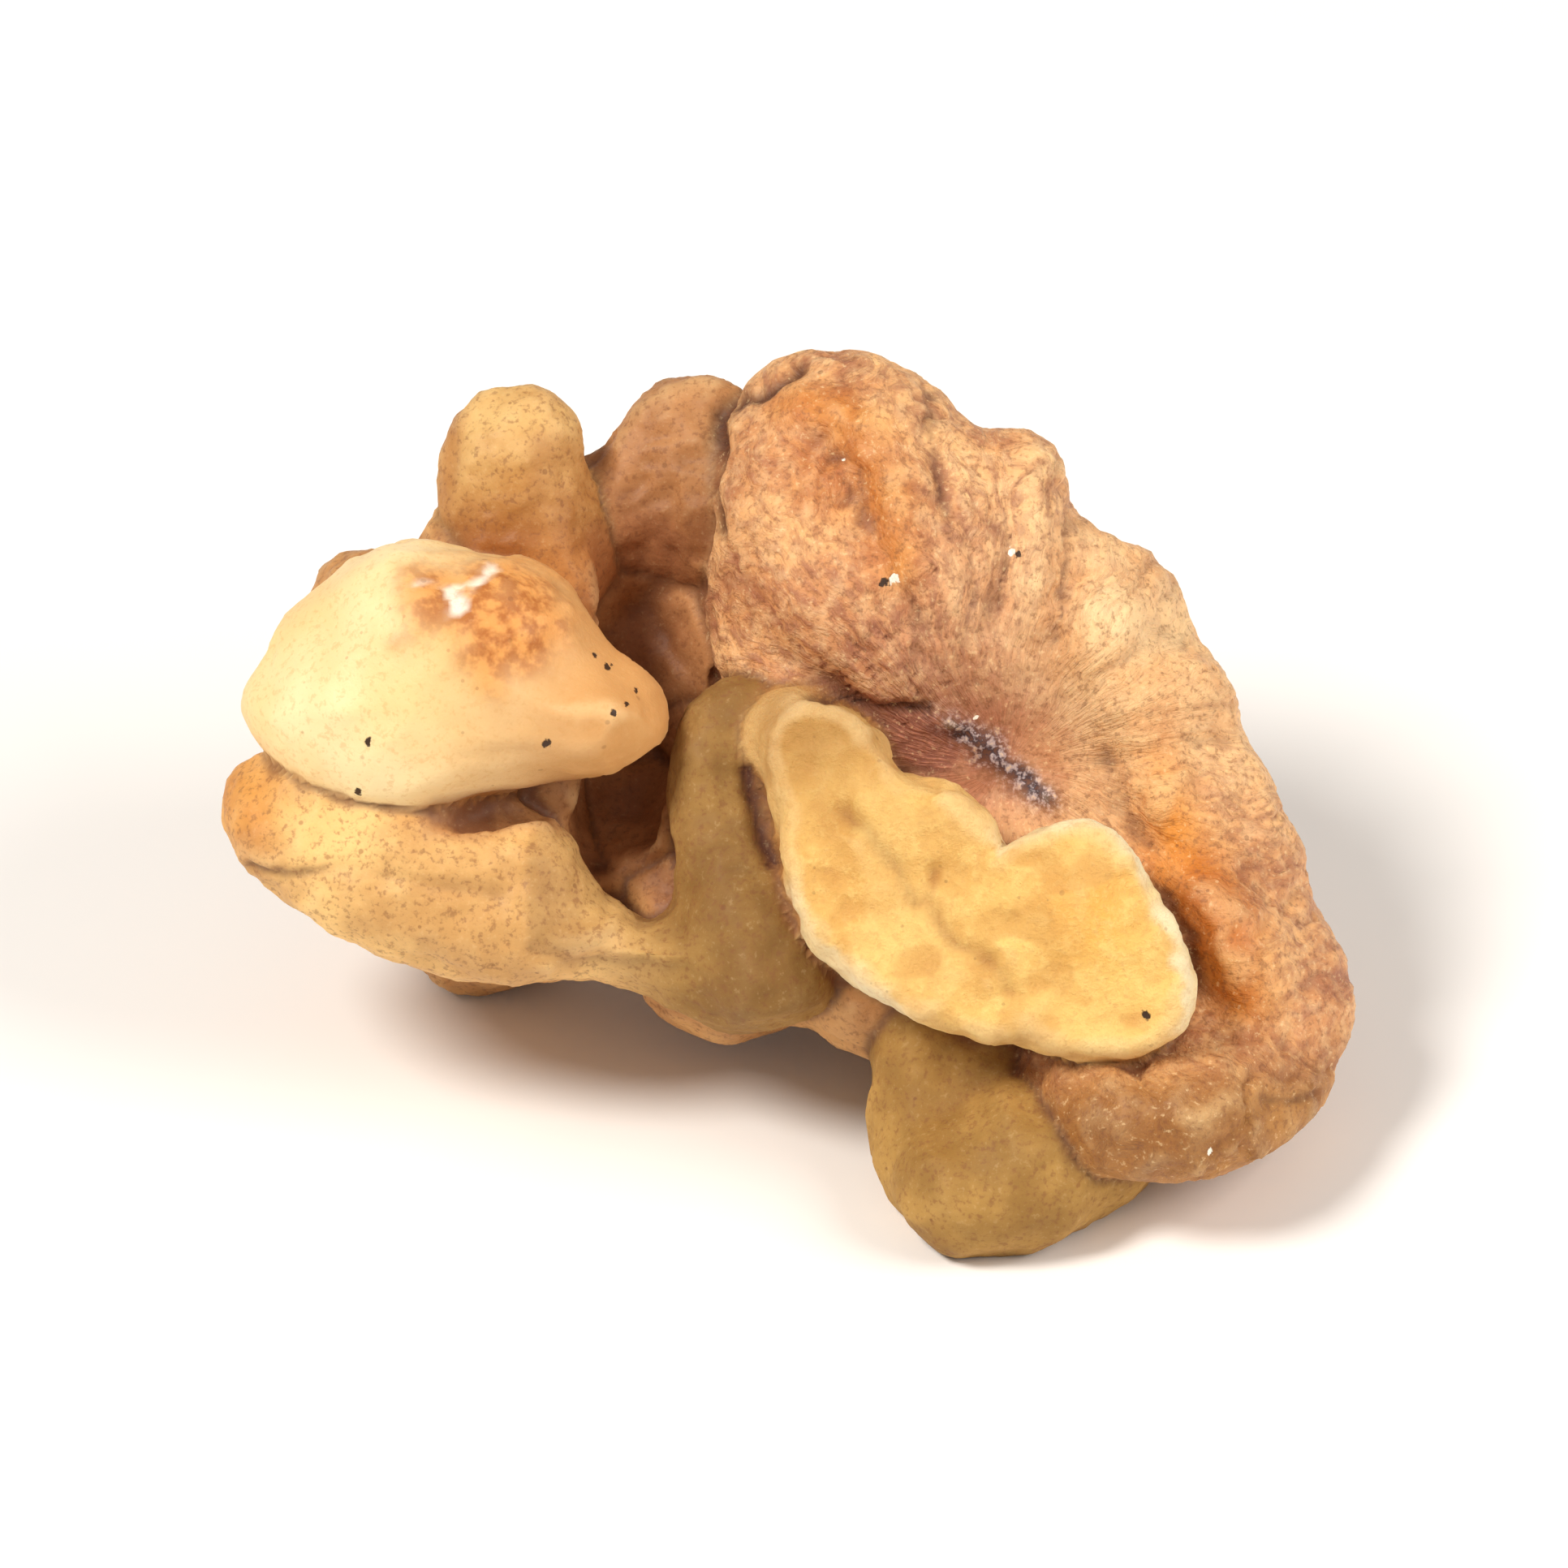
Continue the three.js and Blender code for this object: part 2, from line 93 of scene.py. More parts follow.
# Noise: the same smooth noise as the part's source has, so that the fine skin bends as the solid does
SHUFFLED = np.array([
    151, 160, 137, 91, 90, 15, 131, 13, 201, 95, 96, 53, 194, 233, 7, 225, 140, 36, 103, 30, 69, 142,
    8, 99, 37, 240, 21, 10, 23, 190, 6, 148, 247, 120, 234, 75, 0, 26, 197, 62, 94, 252, 219, 203, 117,
    35, 11, 32, 57, 177, 33, 88, 237, 149, 56, 87, 174, 20, 125, 136, 171, 168, 68, 175, 74, 165, 71,
    134, 139, 48, 27, 166, 77, 146, 158, 231, 83, 111, 229, 122, 60, 211, 133, 230, 220, 105, 92, 41,
    55, 46, 245, 40, 244, 102, 143, 54, 65, 25, 63, 161, 1, 216, 80, 73, 209, 76, 132, 187, 208, 89,
    18, 169, 200, 196, 135, 130, 116, 188, 159, 86, 164, 100, 109, 198, 173, 186, 3, 64, 52, 217, 226,
    250, 124, 123, 5, 202, 38, 147, 118, 126, 255, 82, 85, 212, 207, 206, 59, 227, 47, 16, 58, 17, 182,
    189, 28, 42, 223, 183, 170, 213, 119, 248, 152, 2, 44, 154, 163, 70, 221, 153, 101, 155, 167, 43,
    172, 9, 129, 22, 39, 253, 19, 98, 108, 110, 79, 113, 224, 232, 178, 185, 112, 104, 218, 246, 97,
    228, 251, 34, 242, 193, 238, 210, 144, 12, 191, 179, 162, 241, 81, 51, 145, 235, 249, 14, 239, 107,
    49, 192, 214, 31, 181, 199, 106, 157, 184, 84, 204, 176, 115, 121, 50, 45, 127, 4, 150, 254, 138,
    236, 205, 93, 222, 114, 67, 29, 24, 72, 243, 141, 128, 195, 78, 66, 215, 61, 156, 180,
])
SHUFFLED = np.concatenate([SHUFFLED, SHUFFLED])


def slope_share(shuffled, x, y, z):
    way = shuffled & 15
    first = np.where(way < 8, x, y)
    second = np.where(way < 4, y, np.where((way == 12) | (way == 14), x, z))
    return np.where(way & 1, -first, first) + np.where(way & 2, -second, second)


def noise(x, y, z):
    x, y, z = np.broadcast_arrays(x, y, z)
    low = [np.floor(v).astype(int) for v in (x, y, z)]
    i, j, k = [v & 255 for v in low]
    x, y, z = x - low[0], y - low[1], z - low[2]
    fade_x, fade_y, fade_z = [v * v * v * (v * (v * 6 - 15) + 10) for v in (x, y, z)]
    total = 0.0
    for a in (0, 1):
        for b in (0, 1):
            for c in (0, 1):
                share = (fade_x if a else 1 - fade_x) * (fade_y if b else 1 - fade_y)
                share = share * (fade_z if c else 1 - fade_z)
                corner = SHUFFLED[SHUFFLED[SHUFFLED[i + a] + j + b] + k + c]
                total = total + share * slope_share(corner, x - a, y - b, z - c)
    return total


def rough_noise(p, length, layers=3):
    """Noise with finer layers added to it, about -1 to 1; length is the coarsest layer's wave."""
    total, height = 0.0, 1.0
    for layer in range(layers):
        q = p / length * 2**layer + 17.3 * layer
        total = total + height * noise(q[:, 0], q[:, 1], q[:, 2])
        height *= 0.55
    return total


# Curves, rolls and leaves, as in the part's source
def place(across, up, deep):
    return np.array([across, 0.0, 0.0]) + up * UP_SIDE + deep * DEEP


def curve_through(points, steps, closed=False):
    """Points along a smooth curve that passes through all the given points."""
    points = [np.asarray(p, float) for p in points]
    count = len(points)
    made = []
    for step in range(steps + (0 if closed else 1)):
        t = step / steps * (count if closed else count - 1)
        i = int(t) if closed else min(int(t), count - 2)
        t -= i
        b, c = points[i], points[(i + 1) % count]
        a = points[i - 1] if closed or i > 0 else 2 * b - c
        d = points[(i + 2) % count] if closed or i + 2 < count else 2 * c - b
        gaps = [np.sum((q - p) ** 2) ** 0.25 for p, q in ((a, b), (b, c), (c, d))]
        g1 = gaps[1] if gaps[1] > 1e-4 else 1.0
        g0, g2 = [g if g > 1e-4 else g1 for g in (gaps[0], gaps[2])]
        start = g1 * ((b - a) / g0 - (c - a) / (g0 + g1) + (c - b) / g1)
        end = g1 * ((c - b) / g1 - (d - b) / (g1 + g2) + (d - c) / g2)
        square = 3 * (c - b) - 2 * start - end
        cube = 2 * (b - c) + start + end
        made.append(b + start * t + square * t**2 + cube * t**3)
    return np.array(made)


def roll(points, blend, lift=None):
    """A round roll through (across, up, deep, radius) points; lift keeps it that far off the floor."""
    spots = [place(*point[:3]) for point in points]
    if lift is not None:
        for spot, point in zip(spots, points):
            spot[2] = max(spot[2], point[3] + lift)
    steps = (len(points) - 1) * 4
    at = curve_through(spots, steps)
    radius = curve_through([(point[3], 0, 0) for point in points], steps)[:, 0]

    def distance(p):
        nearest = np.full(len(p), np.inf)
        for i in range(steps):
            run = at[i + 1] - at[i]
            off = p - at[i]
            t = np.clip(off @ run / (run @ run), 0, 1)
            off -= t[:, None] * run
            gap = np.sqrt(np.einsum("ij,ij->i", off, off)) - radius[i] - t * (radius[i + 1] - radius[i])
            nearest = np.minimum(nearest, gap)
        return nearest

    return distance, blend


def inset_from(rim, across, up):
    """How far each point lies inside a closed outline, below zero outside it."""
    nearest = np.full(len(across), np.inf)
    inside = np.zeros(len(across), bool)
    for (ax, ay), (bx, by) in zip(rim, np.roll(rim, -1, axis=0)):
        ex, ey, wx, wy = bx - ax, by - ay, across - ax, up - ay
        t = np.clip((wx * ex + wy * ey) / (ex * ex + ey * ey), 0, 1)
        nearest = np.minimum(nearest, (wx - ex * t) ** 2 + (wy - ey * t) ** 2)
        if ey:
            inside ^= ((ay > up) != (by > up)) & (wx < ex * wy / ey)
    return np.where(inside, 1, -1) * np.sqrt(nearest)


def leaf(outline, middle, half_thickness, edge, blend, square=2):
    """A thin lobe within an outline. Its edge is round where square is 2, and crisper above that."""
    rim = curve_through(outline, len(outline) * 3, closed=True)

    def distance(p):
        across, up = p[:, 0], p @ UP_SIDE
        inset = inset_from(rim, across, up)
        s = np.maximum(1 - inset / edge, 0)
        t = np.abs(p @ DEEP - middle(across, up, inset)) / half_thickness
        size = (s**square + t**square) ** (1 / square)
        slope = np.hypot(s ** (square - 1) / edge, t ** (square - 1) / half_thickness)
        filled = -min(half_thickness, edge)
        return np.where(slope > 1e-9, (size - 1) * size ** (square - 1) / np.maximum(slope, 1e-9), filled)

    return distance, blend


def hump(across, up, centre_across, centre_up, reach):
    """1 at a centre in the open side's plane, and 0 well away from it."""
    return np.exp(-((across - centre_across) ** 2 + (up - centre_up) ** 2) / reach**2)


# Fan
SCAR = (6.6, 15.2)
FURROW_ANGLES = (150, 118, 92, 70, 40, 8, -20, -45, -68, -92)
FAN_OUTLINE = [
    (-1.2, 26.7), (0.2, 27.8), (2, 27.9), (3.9, 27.3), (5.6, 25.9), (7.3, 25.8), (8.6, 24.9), (9.1, 22.9),
    (11.4, 21.4), (12.2, 19.9), (13.6, 18.3), (14.1, 15.9), (15.3, 13.6), (16.2, 11.4), (17.1, 8.4),
    (16.7, 6), (15, 4), (12.8, 2.8), (10.6, 3.2), (8.9, 3.7), (6.1, 5.8), (4.6, 8.5), (2.6, 12),
    (0, 15.5), (-2.2, 18.3), (-2.5, 19.6), (-1.9, 22), (-1.7, 24.8),
]


def furrows(across, up):
    angle = np.degrees(np.arctan2(up - SCAR[1], across - SCAR[0]))
    depth = np.max([np.exp(-(((angle - furrow) / 7) ** 2)) for furrow in FURROW_ANGLES], axis=0)
    return smooth_ramp(np.hypot(across - SCAR[0], up - SCAR[1]), 2, 8) * depth


def fan_middle(across, up, inset):
    middle = 5.2 - 2 * hump(across, up, 2.6, 21.5, 4.5) - 1.4 * hump(across, up, 12.5, 9.5, 4.5)
    middle += hump(across, up, 6.8, 14.8, 2.8) - 3.2 * smooth_ramp(9 - up, 0, 6)
    middle -= 0.5 * np.exp(-(((inset - 2.6) / 1.3) ** 2)) * smooth_ramp(across, 6, 10)
    middle -= 2.2 * hump(across, up, 10.2, 4.6, 3.6)
    return middle + 0.65 * furrows(across, up)


# Broken leaf, pale lobe, lip and foot
LEFT_FLAKE_OUTLINE = [
    (-0.4, 16.4), (0.6, 17.6), (2.4, 17), (3.7, 15.4), (5.3, 15), (6.5, 13.6), (7, 10.4), (6.9, 7.3),
    (4.2, 7.8), (2.9, 8.5), (1.4, 9.6), (0.1, 11.1), (-0.4, 12.9), (-0.1, 14.4),
]
RIGHT_FLAKE_OUTLINE = [
    (5.4, 12.4), (7.1, 13.4), (9.2, 13.7), (10.8, 12.8), (11.7, 11.4), (12.5, 9.6), (12.1, 7.9),
    (10.6, 6.9), (9, 6.8), (6.9, 7.3), (5.2, 8.8), (4.8, 10.8),
]
PALE_LOBE_OUTLINE = [
    (-15.9, 16.9), (-15.2, 18.8), (-14, 21), (-12.3, 22.1), (-10.8, 22.3), (-8.7, 21.7), (-6.6, 20.7),
    (-5.4, 19.3), (-3.8, 17.9), (-3.5, 16.6), (-4.7, 15.4), (-6.6, 14.8), (-10, 14.3), (-12.6, 14.1),
    (-14.9, 15.1),
]
LIP_OUTLINE = [
    (-17, 14.5), (-15.6, 15.6), (-13, 15.8), (-10, 15), (-7.7, 13.9), (-6.4, 12.7), (-4.7, 11.1),
    (-3.6, 10.9), (-3, 12.2), (-3.5, 14.5), (-3.2, 16.8), (-2, 18), (-0.4, 17.8), (0.6, 14.5), (1.5, 10.6),
    (1.6, 8.6), (0.2, 7.6), (-1.5, 7.4), (-2.8, 8), (-4.2, 8.8), (-7.4, 9), (-10.3, 9.2), (-12.3, 9.8),
    (-15.2, 11.9), (-16.7, 13.2),
]
FOOT_OUTLINE = [(2.9, 9), (2.7, 6), (2.8, 3), (4, 1.6), (8, 2), (11.5, 4), (11, 7), (8, 9.5), (5, 10)]


def left_flake_middle(across, up, inset):
    return 0.4 + 1.2 * hump(across, up, 0, 18, 3)


def right_flake_middle(across, up, inset):
    return 0.7 - 0.08 * across - 0.5 * hump(across, up, 8.9, 11, 1.8)


def pale_middle(across, up, inset):
    return 1.3 - 0.06 * across


def lip_middle(across, up, inset):
    middle = 3.2 - 0.5 * hump(across, up, -10, 12, 4) + 0.5 * hump(across, up, -2, 17, 3)
    return middle - 0.8 * hump(across, up, -1.2, 9.8, 3)


def foot_middle(across, up, inset):
    return 1.9 + 0.25 * up + 1.4 * smooth_ramp(across, 6, 9.5) * smooth_ramp(up, 2.5, 5.5)


def outer_folds(centre, long, short, turn, angles):
    """Rolls that run out from the middle of a wing on the hidden, convex side."""
    folds = []
    turn = math.radians(turn)
    for count, angle in enumerate(angles):
        x, y = long * math.cos(math.radians(angle)), short * math.sin(math.radians(angle))
        reach = (x * math.cos(turn) - y * math.sin(turn), x * math.sin(turn) + y * math.cos(turn))
        at = [[centre[0] + reach[0] * share, centre[1] + reach[1] * share] for share in (0.15, 0.6, 1)]
        even = count % 2
        folds.append(roll([
            (*at[0], OUTER_DEPTH, OUTER_FOLD_RADIUS * 0.85),
            (*at[1], OUTER_DEPTH - 0.8 + 0.5 * even, OUTER_FOLD_RADIUS),
            (*at[2], OUTER_DEPTH - 4.6, OUTER_FOLD_RADIUS * 0.85),
        ], 0.6, 1.3 - 0.9 * even))
    return folds


# The lobes by name, in the order in which they are joined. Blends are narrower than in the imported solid,
# so that each lobe stands off its neighbour with a crisp line.
LOBES = {
    "flesh": [
        roll([(7.5, 18.5, 8.6, 3.8), (6.5, 10, 7.2, 3.4)], 1.4, 1.3),
        roll([(-9.2, 17.8, 7.6, 4.4), (-8.5, 12.5, 6.5, 3.4)], 2, 1.5),
        roll([(-2, 17.5, 10.2, 3.2), (-1.5, 10.5, 6.4, 3.2)], 2, 1.5),
        roll([(-4.5, 13, 8.6, 2.8), (1.6, 13, 8.4, 3.2), (3, 9.5, 4.6, 2.8)], 2, 1.6),
        roll([(-5.5, 21, 9.8, 2.6), (0, 21, 9.8, 2.8), (4, 20, 9.4, 2.9)], 1.2),
        roll([(0.6, 14, 4.2, 2.2), (2.8, 11, 3.8, 2.4), (6.5, 9.4, 3.8, 2.4)], 1.2),
    ],
    "outer": [
        *outer_folds((6.4, 15.4), 9.4, 4.6, -58, (0, 36, 74, 108, 144, 178, 212, 248, 284, 322)),
        *outer_folds((-8.6, 16.2), 5.3, 4.7, 90, (0, 50, 100, 150, 200, 250, 300)),
        roll([(-2.4, 22.4, 9.4, 2.6), (-1.8, 17, 10.2, 3), (-1.6, 11, 7.6, 3)], 1.6, 1.2),
        roll([(-8.5, 11.5, 10, 3), (-9, 9.5, 12, 2.6)], 0.9, -0.3),
        roll([(9, 11.5, 11, 3), (9.5, 10.5, 13, 2.6)], 0.9, -0.3),
    ],
    "web": [
        roll([(-7, 22, 7.8, 2.3), (-4.4, 23.1, 7.8, 2.5), (-1.2, 23.6, 7.2, 2.8)], 0.9),
        roll([(-2.6, 25, 7.2, 2.3), (-1, 22.6, 7.4, 2.4)], 0.8),
    ],
    "fan": [leaf(FAN_OUTLINE, fan_middle, 2.7, 3.2, 0.3, 2.3)],
    "knob": [roll([(-7.8, 24.8, 5.2, 2.2), (-7.6, 22.2, 5.8, 2.5), (-7.3, 18.5, 7, 3)], 0.5)],
    "lip": [leaf(LIP_OUTLINE, lip_middle, 2.4, 2, 0.25, 2.6)],
    "pale": [leaf(PALE_LOBE_OUTLINE, pale_middle, 3.6, 4.1, 0.4)],
    "foot": [
        leaf(FOOT_OUTLINE, foot_middle, 2.1, 2, 0.6),
        roll([(5.3, 2.6, 1, 2.1), (7, 2.8, 1.3, 2.4)], 0.6, -0.3),
        roll([(7.2, 3, 2, 2.3), (9.6, 3.2, 3.2, 2.1)], 0.6, -0.2),
    ],
    "flakes": [
        roll([(-0.2, 16.3, 2.4, 1.3), (0.8, 16.1, 1.6, 1.5), (2, 15.6, 1.2, 1.5)], 0.7),
        leaf(LEFT_FLAKE_OUTLINE, left_flake_middle, 1.8, 0.8, 0.2, 3),
        leaf(RIGHT_FLAKE_OUTLINE, right_flake_middle, 1.8, 0.8, 0.2, 3),
    ],
}
# Each recess, and 1 where shade is painted on its walls
RECESSES = [
    (roll([(-4.2, 21.4, 4.6, 1.3), (-4.1, 19.4, 5.4, 1.7), (-4.4, 16.6, 5.6, 1.9), (-4.9, 14.8, 5.2, 1.6),
           (-5.2, 13.2, 4, 1.2), (-3.5, 11.9, 3.6, 0.6)], 0.4), 1),
    (roll([(-10, 14.15, 0.5, 0.35), (-8.8, 14.1, 1.3, 0.6), (-7.2, 14.15, 2.2, 0.75),
           (-5.2, 14.4, 3.4, 1)], 0.15), 1),
    (roll([(-0.8, 15.2, -0.4, 0.6), (-1, 13, -0.4, 0.7), (-0.6, 10.8, -0.6, 0.7),
           (0.8, 9, -0.6, 0.7)], 0.3), 0),
    (roll([(-0.6, 15.3, 0.1, 0.3), (-0.75, 14.3, 0.3, 0.4), (-0.7, 13, 0.1, 0.3)], 0.2), 0),
]


def warped(p):
    """The points where the lobes are drawn, a little out of true as everything that grows is."""
    x, y, z = (p / WARP_LENGTH).T
    bend = np.stack([noise(x, y, z), noise(x + 31, y, z), noise(x, y + 57, z)], axis=1)
    return p + WARP_HEIGHT * bend


def join(a, b, blend):
    overlap = np.maximum(blend - np.abs(a - b), 0)
    return np.minimum(a, b) - overlap**2 / (4 * blend)


def outer_creases(p):
    """1 in a crease of the convex side; they fade toward the open side and near the floor."""
    x, y, z = (p / CREASE_LENGTH).T
    crease = np.exp(-((noise(x, y + 91, z) / CREASE_WIDTH) ** 2))
    return smooth_ramp(p @ DEEP, 6, 9.5) * smooth_ramp(p[:, 2], 1, 4) * crease


def kernel_distance(p, owners=None):
    """Distance to the kernel's skin. owners, if given, gets each named lobe's own distance."""
    p = warped(p)
    total = np.full(len(p), 100.0)
    for name, forms in LOBES.items():
        own = np.full(len(p), 100.0)
        for distance, blend in forms:
            gap = distance(p)
            own = np.minimum(own, gap)
            total = join(total, gap, blend)
        if owners is not None:
            owners[name] = own
    # Recesses marked 1 get painted shade on their walls
    for (distance, blend), dark in RECESSES:
        gap = distance(p)
        total = -join(-total, gap, blend)
        if owners is not None and dark:
            owners["recess"] = np.minimum(owners.get("recess", 100.0), gap)
    return total + CREASE_DEPTH * outer_creases(p)


# The fine skin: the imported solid's own mesh, remade from even quads and drawn in to the lobes
def merged_copy(node):
    """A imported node's mesh, merged, in millimetres."""
    bm = bmesh.new()
    bm.from_mesh(node.data)
    bmesh.ops.transform(bm, matrix=Matrix.Scale(1 / MM, 4) @ node.matrix_world, verts=bm.verts)
    bmesh.ops.remove_doubles(bm, verts=bm.verts, dist=MERGE_GAP)
    bmesh.ops.smooth_vert(
        bm, verts=bm.verts, factor=0.4, use_axis_x=True, use_axis_y=True, use_axis_z=True)
    mesh = bpy.data.meshes.new("merged_copy")
    bm.to_mesh(mesh)
    bm.free()
    return mesh


def even_skin(mesh, cell):
    """The mesh remade from small even quads; the old one is removed."""
    rough = bpy.data.objects.new("rough_skin", mesh)
    bpy.context.scene.collection.objects.link(rough)
    remesh = rough.modifiers.new("even_skin", "REMESH")
    remesh.mode = "VOXEL"
    remesh.voxel_size = cell
    graph = bpy.context.evaluated_depsgraph_get()
    made = bpy.data.meshes.new_from_object(rough.evaluated_get(graph))
    bpy.data.objects.remove(rough)
    bpy.data.meshes.remove(mesh)
    return made


class Skin:
    """A mesh whose points are moved by formula, in millimetres."""

    def __init__(self, mesh):
        self.mesh = mesh
        self.at = np.empty(len(mesh.vertices) * 3)
        mesh.vertices.foreach_get("co", self.at)
        self.at = self.at.reshape(-1, 3)
        self.edges = np.empty(len(mesh.edges) * 2, int)
        mesh.edges.foreach_get("vertices", self.edges)
        self.edges = self.edges.reshape(-1, 2)
        self.count = np.bincount(self.edges.ravel(), minlength=len(self.at))[:, None]

    def spread(self, values):
        """The mean of each point's neighbours."""
        a, b = self.edges.T
        columns = values if values.ndim == 2 else values[:, None]
        total = np.stack([
            np.bincount(a, columns[b, i], len(self.at)) + np.bincount(b, columns[a, i], len(self.at))
            for i in range(columns.shape[1])
        ], axis=1)
        total /= self.count
        return total if values.ndim == 2 else total[:, 0]

    def smoothed(self, values, rounds):
        for _ in range(rounds):
            values = 0.5 * (values + self.spread(values))
        return values

    def normals(self):
        self.mesh.vertices.foreach_set("co", self.at.ravel())
        self.mesh.update()
        out = np.empty(len(self.at) * 3)
        self.mesh.vertex_normals.foreach_get("vector", out)
        return out.reshape(-1, 3)

    def relax(self, share):
        """Evens the spacing, sliding the points along the skin only."""
        slide = (self.spread(self.at) - self.at) * share
        normals = self.normals()
        self.at += slide - np.einsum("ij,ij->i", slide, normals)[:, None] * normals

    def calm(self, most):
        """Draws in the points that stand off their neighbours by more than most."""
        off = self.spread(self.at) - self.at
        share = np.clip(np.linalg.norm(off, axis=1) / most - 1, 0, 1)
        self.at += off * share[:, None]

    def press_on_floor(self):
        self.at[:, 2] = np.maximum(self.at[:, 2], 0)

    def settle(self, furthest):
        """Moves each point on to the lobes' skin, by no more than furthest."""
        move = np.clip(kernel_distance(self.at + DRAWN_FROM), -furthest, furthest)
        self.at -= move[:, None] * self.normals()
        self.press_on_floor()


def settled_skin(mesh, cell, rounds, furthest):
    made = Skin(even_skin(mesh, cell))
    for _ in range(rounds):
        made.settle(furthest)
        made.relax(0.5)
        made.calm(0.3 * cell)
    made.normals()
    return made


skin = settled_skin(merged_copy(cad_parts["walnut_kernel"]), COARSE_CELL, 5, 0.4)
skin = settled_skin(skin.mesh, SKIN_CELL, 3, 0.25)
skin.settle(0.1)
for _ in range(4):
    skin.calm(0.05)

# What each point of the skin belongs to
owners = {}
kernel_distance(skin.at + DRAWN_FROM, owners)
shaded_recess_gap = owners.pop("recess")
drawn_at = warped(skin.at + DRAWN_FROM)
across, up = drawn_at[:, 0], drawn_at @ UP_SIDE
open_side = -(skin.normals() @ DEEP)
front = smooth_ramp(open_side, -0.3, 0.2)
nearest, next_nearest = np.sort(list(owners.values()), axis=0)[:2]
shares = {name: np.exp(-(own - nearest) / SHARE_WIDTH) for name, own in owners.items()}
whole = sum(shares.values())
shares = {name: share / whole for name, share in shares.items()}
shares["outer"] = shares["outer"] + shares.pop("flesh")
skin_share = shares["fan"] + shares["knob"] + shares["web"] + shares["outer"]
on_fan, on_flakes = shares["fan"] * front, shares["flakes"] * front
on_pale, on_lip = shares["pale"] * front, shares["lip"] * front


def bell(value, width):
    """1 where the value is 0, and 0 well away from it."""
    return np.exp(-((value / width) ** 2))


# Noises of the skin; the number added to the points only keeps them unlike each other
points = skin.at.copy()
noise_fine = rough_noise(points, 0.9, 2)
noise_middle = rough_noise(points + 40, 2.2, 3)
noise_broad = rough_noise(points + 80, 5.5, 2)
grain = rough_noise(points + 120, 0.8, 2)
leather = 1 - np.abs(rough_noise(points + 200, 1.7, 3)) * 2.2
chips = 1 - np.abs(rough_noise(points + 260, 2.3, 3)) * 2
planes = 1 - np.abs(rough_noise(points + 310, 4.2, 2)) * 2


def facets(p, length, tilt):
    """Broken flesh: flat faces of uneven tilt that meet in crisp lines, about -1 to 1."""
    steps = (-1, 0, 1)
    q = p / length
    cell = np.floor(q).astype(int)
    nearest = np.full(len(p), np.inf)
    height = np.zeros(len(p))
    for step in np.array([(i, j, k) for i in steps for j in steps for k in steps]):
        i, j, k = [(cell + step)[:, axis] & 255 for axis in range(3)]
        first = SHUFFLED[SHUFFLED[SHUFFLED[i] + j] + k]
        draws = [SHUFFLED[first + n] for n in range(3)]
        offset = q - cell - step - np.stack([draw / 256 for draw in draws], axis=1)
        gap = np.einsum("ij,ij->i", offset, offset)
        lean = offset[:, 0] * (draws[1] / 128 - 1) + offset[:, 2] * (draws[2] / 128 - 1)
        height = np.where(gap < nearest, first / 128 - 1 + tilt * lean, height)
        nearest = np.minimum(nearest, gap)
    return height


bend_fine, bend_middle = noise_fine[:, None], noise_middle[:, None]
broken = skin.smoothed(facets(points + 0.35 * bend_fine + 0.5 * bend_middle, 2.4, 1.6), 3)
broken_small = skin.smoothed(facets(points + 0.2 * bend_fine + 70, 1.1, 1.5), 3)


# Lines and outlines in the open side's plane
def line_gap(path):
    """Distance to a broken line."""
    nearest = np.full(len(across), np.inf)
    for (ax, ay), (bx, by) in zip(path, path[1:]):
        ex, ey = bx - ax, by - ay
        t = np.clip(((across - ax) * ex + (up - ay) * ey) / (ex * ex + ey * ey), 0, 1)
        nearest = np.minimum(nearest, np.hypot(across - ax - ex * t, up - ay - ey * t))
    return nearest


def line(path, width, wander=0.0):
    """1 on a line and 0 away from it; wander is the size of its own small turns."""
    return bell(line_gap(path) + wander * noise_fine, width)


def inset(outline, steps):
    return inset_from(curve_through(outline, steps, closed=True), across, up)


# Lines where two lobes meet, and grooves of the open side: path, width, depth, and how dark the shade painted
# into it is
GROOVES = [
    ([(0.5, 27.4), (-0.2, 26.8), (-1.2, 26.4), (-1.65, 26), (-1.65, 22.6)], 0.2, 0.3, 0.9),
    ([(4.5, 26.6), (4.6, 24.4), (4.9, 22)], 0.13, 0.09, 0.5),
    ([(1.1, 17.5), (2.8, 17.4), (4.6, 17.3)], 0.16, 0.18, 0.9),
    ([(1.8, 14), (2.5, 13.5), (2.9, 12.9), (3.6, 12.2), (4.1, 11.3)], 0.26, 0.2, 0.22),
    ([(4.6, 12.3), (4.5, 11.2), (5, 10.2), (5.9, 9.6), (6.4, 8.7)], 0.3, 0.24, 0.16),
    ([(-16.1, 12.8), (-14.9, 12.5), (-13.6, 12.5)], 0.14, 0.16, 0.6),
    ([(-13.6, 12.5), (-10.8, 11.9), (-8.4, 11.6)], 0.3, 0.14, 0.12),
    ([(-7.3, 10), (-5.4, 9.4), (-3.4, 9.1)], 0.25, 0.16, 0.25),
    ([(14.2, 5.55), (15, 5.4), (15.8, 5.6)], 0.12, 0.1, 0.5),
    ([(-0.75, 15.2), (-0.7, 14.2), (-0.55, 12.8)], 0.2, 0.3, 1),
]
# Painted shade along the lines where two lobes meet
border = bell(next_nearest - nearest, 0.16) * (1 - shares["outer"] * (1 - smooth_ramp(open_side, -0.2, 0.4)))
groove_depth = 0.14 * border
groove_shade = 0.45 * border
for path, width, depth, dark in GROOVES:
    mark = line(path, width, 0.12) * front
    groove_depth = np.maximum(groove_depth, mark * depth)
    groove_shade = np.maximum(groove_shade, mark * dark)

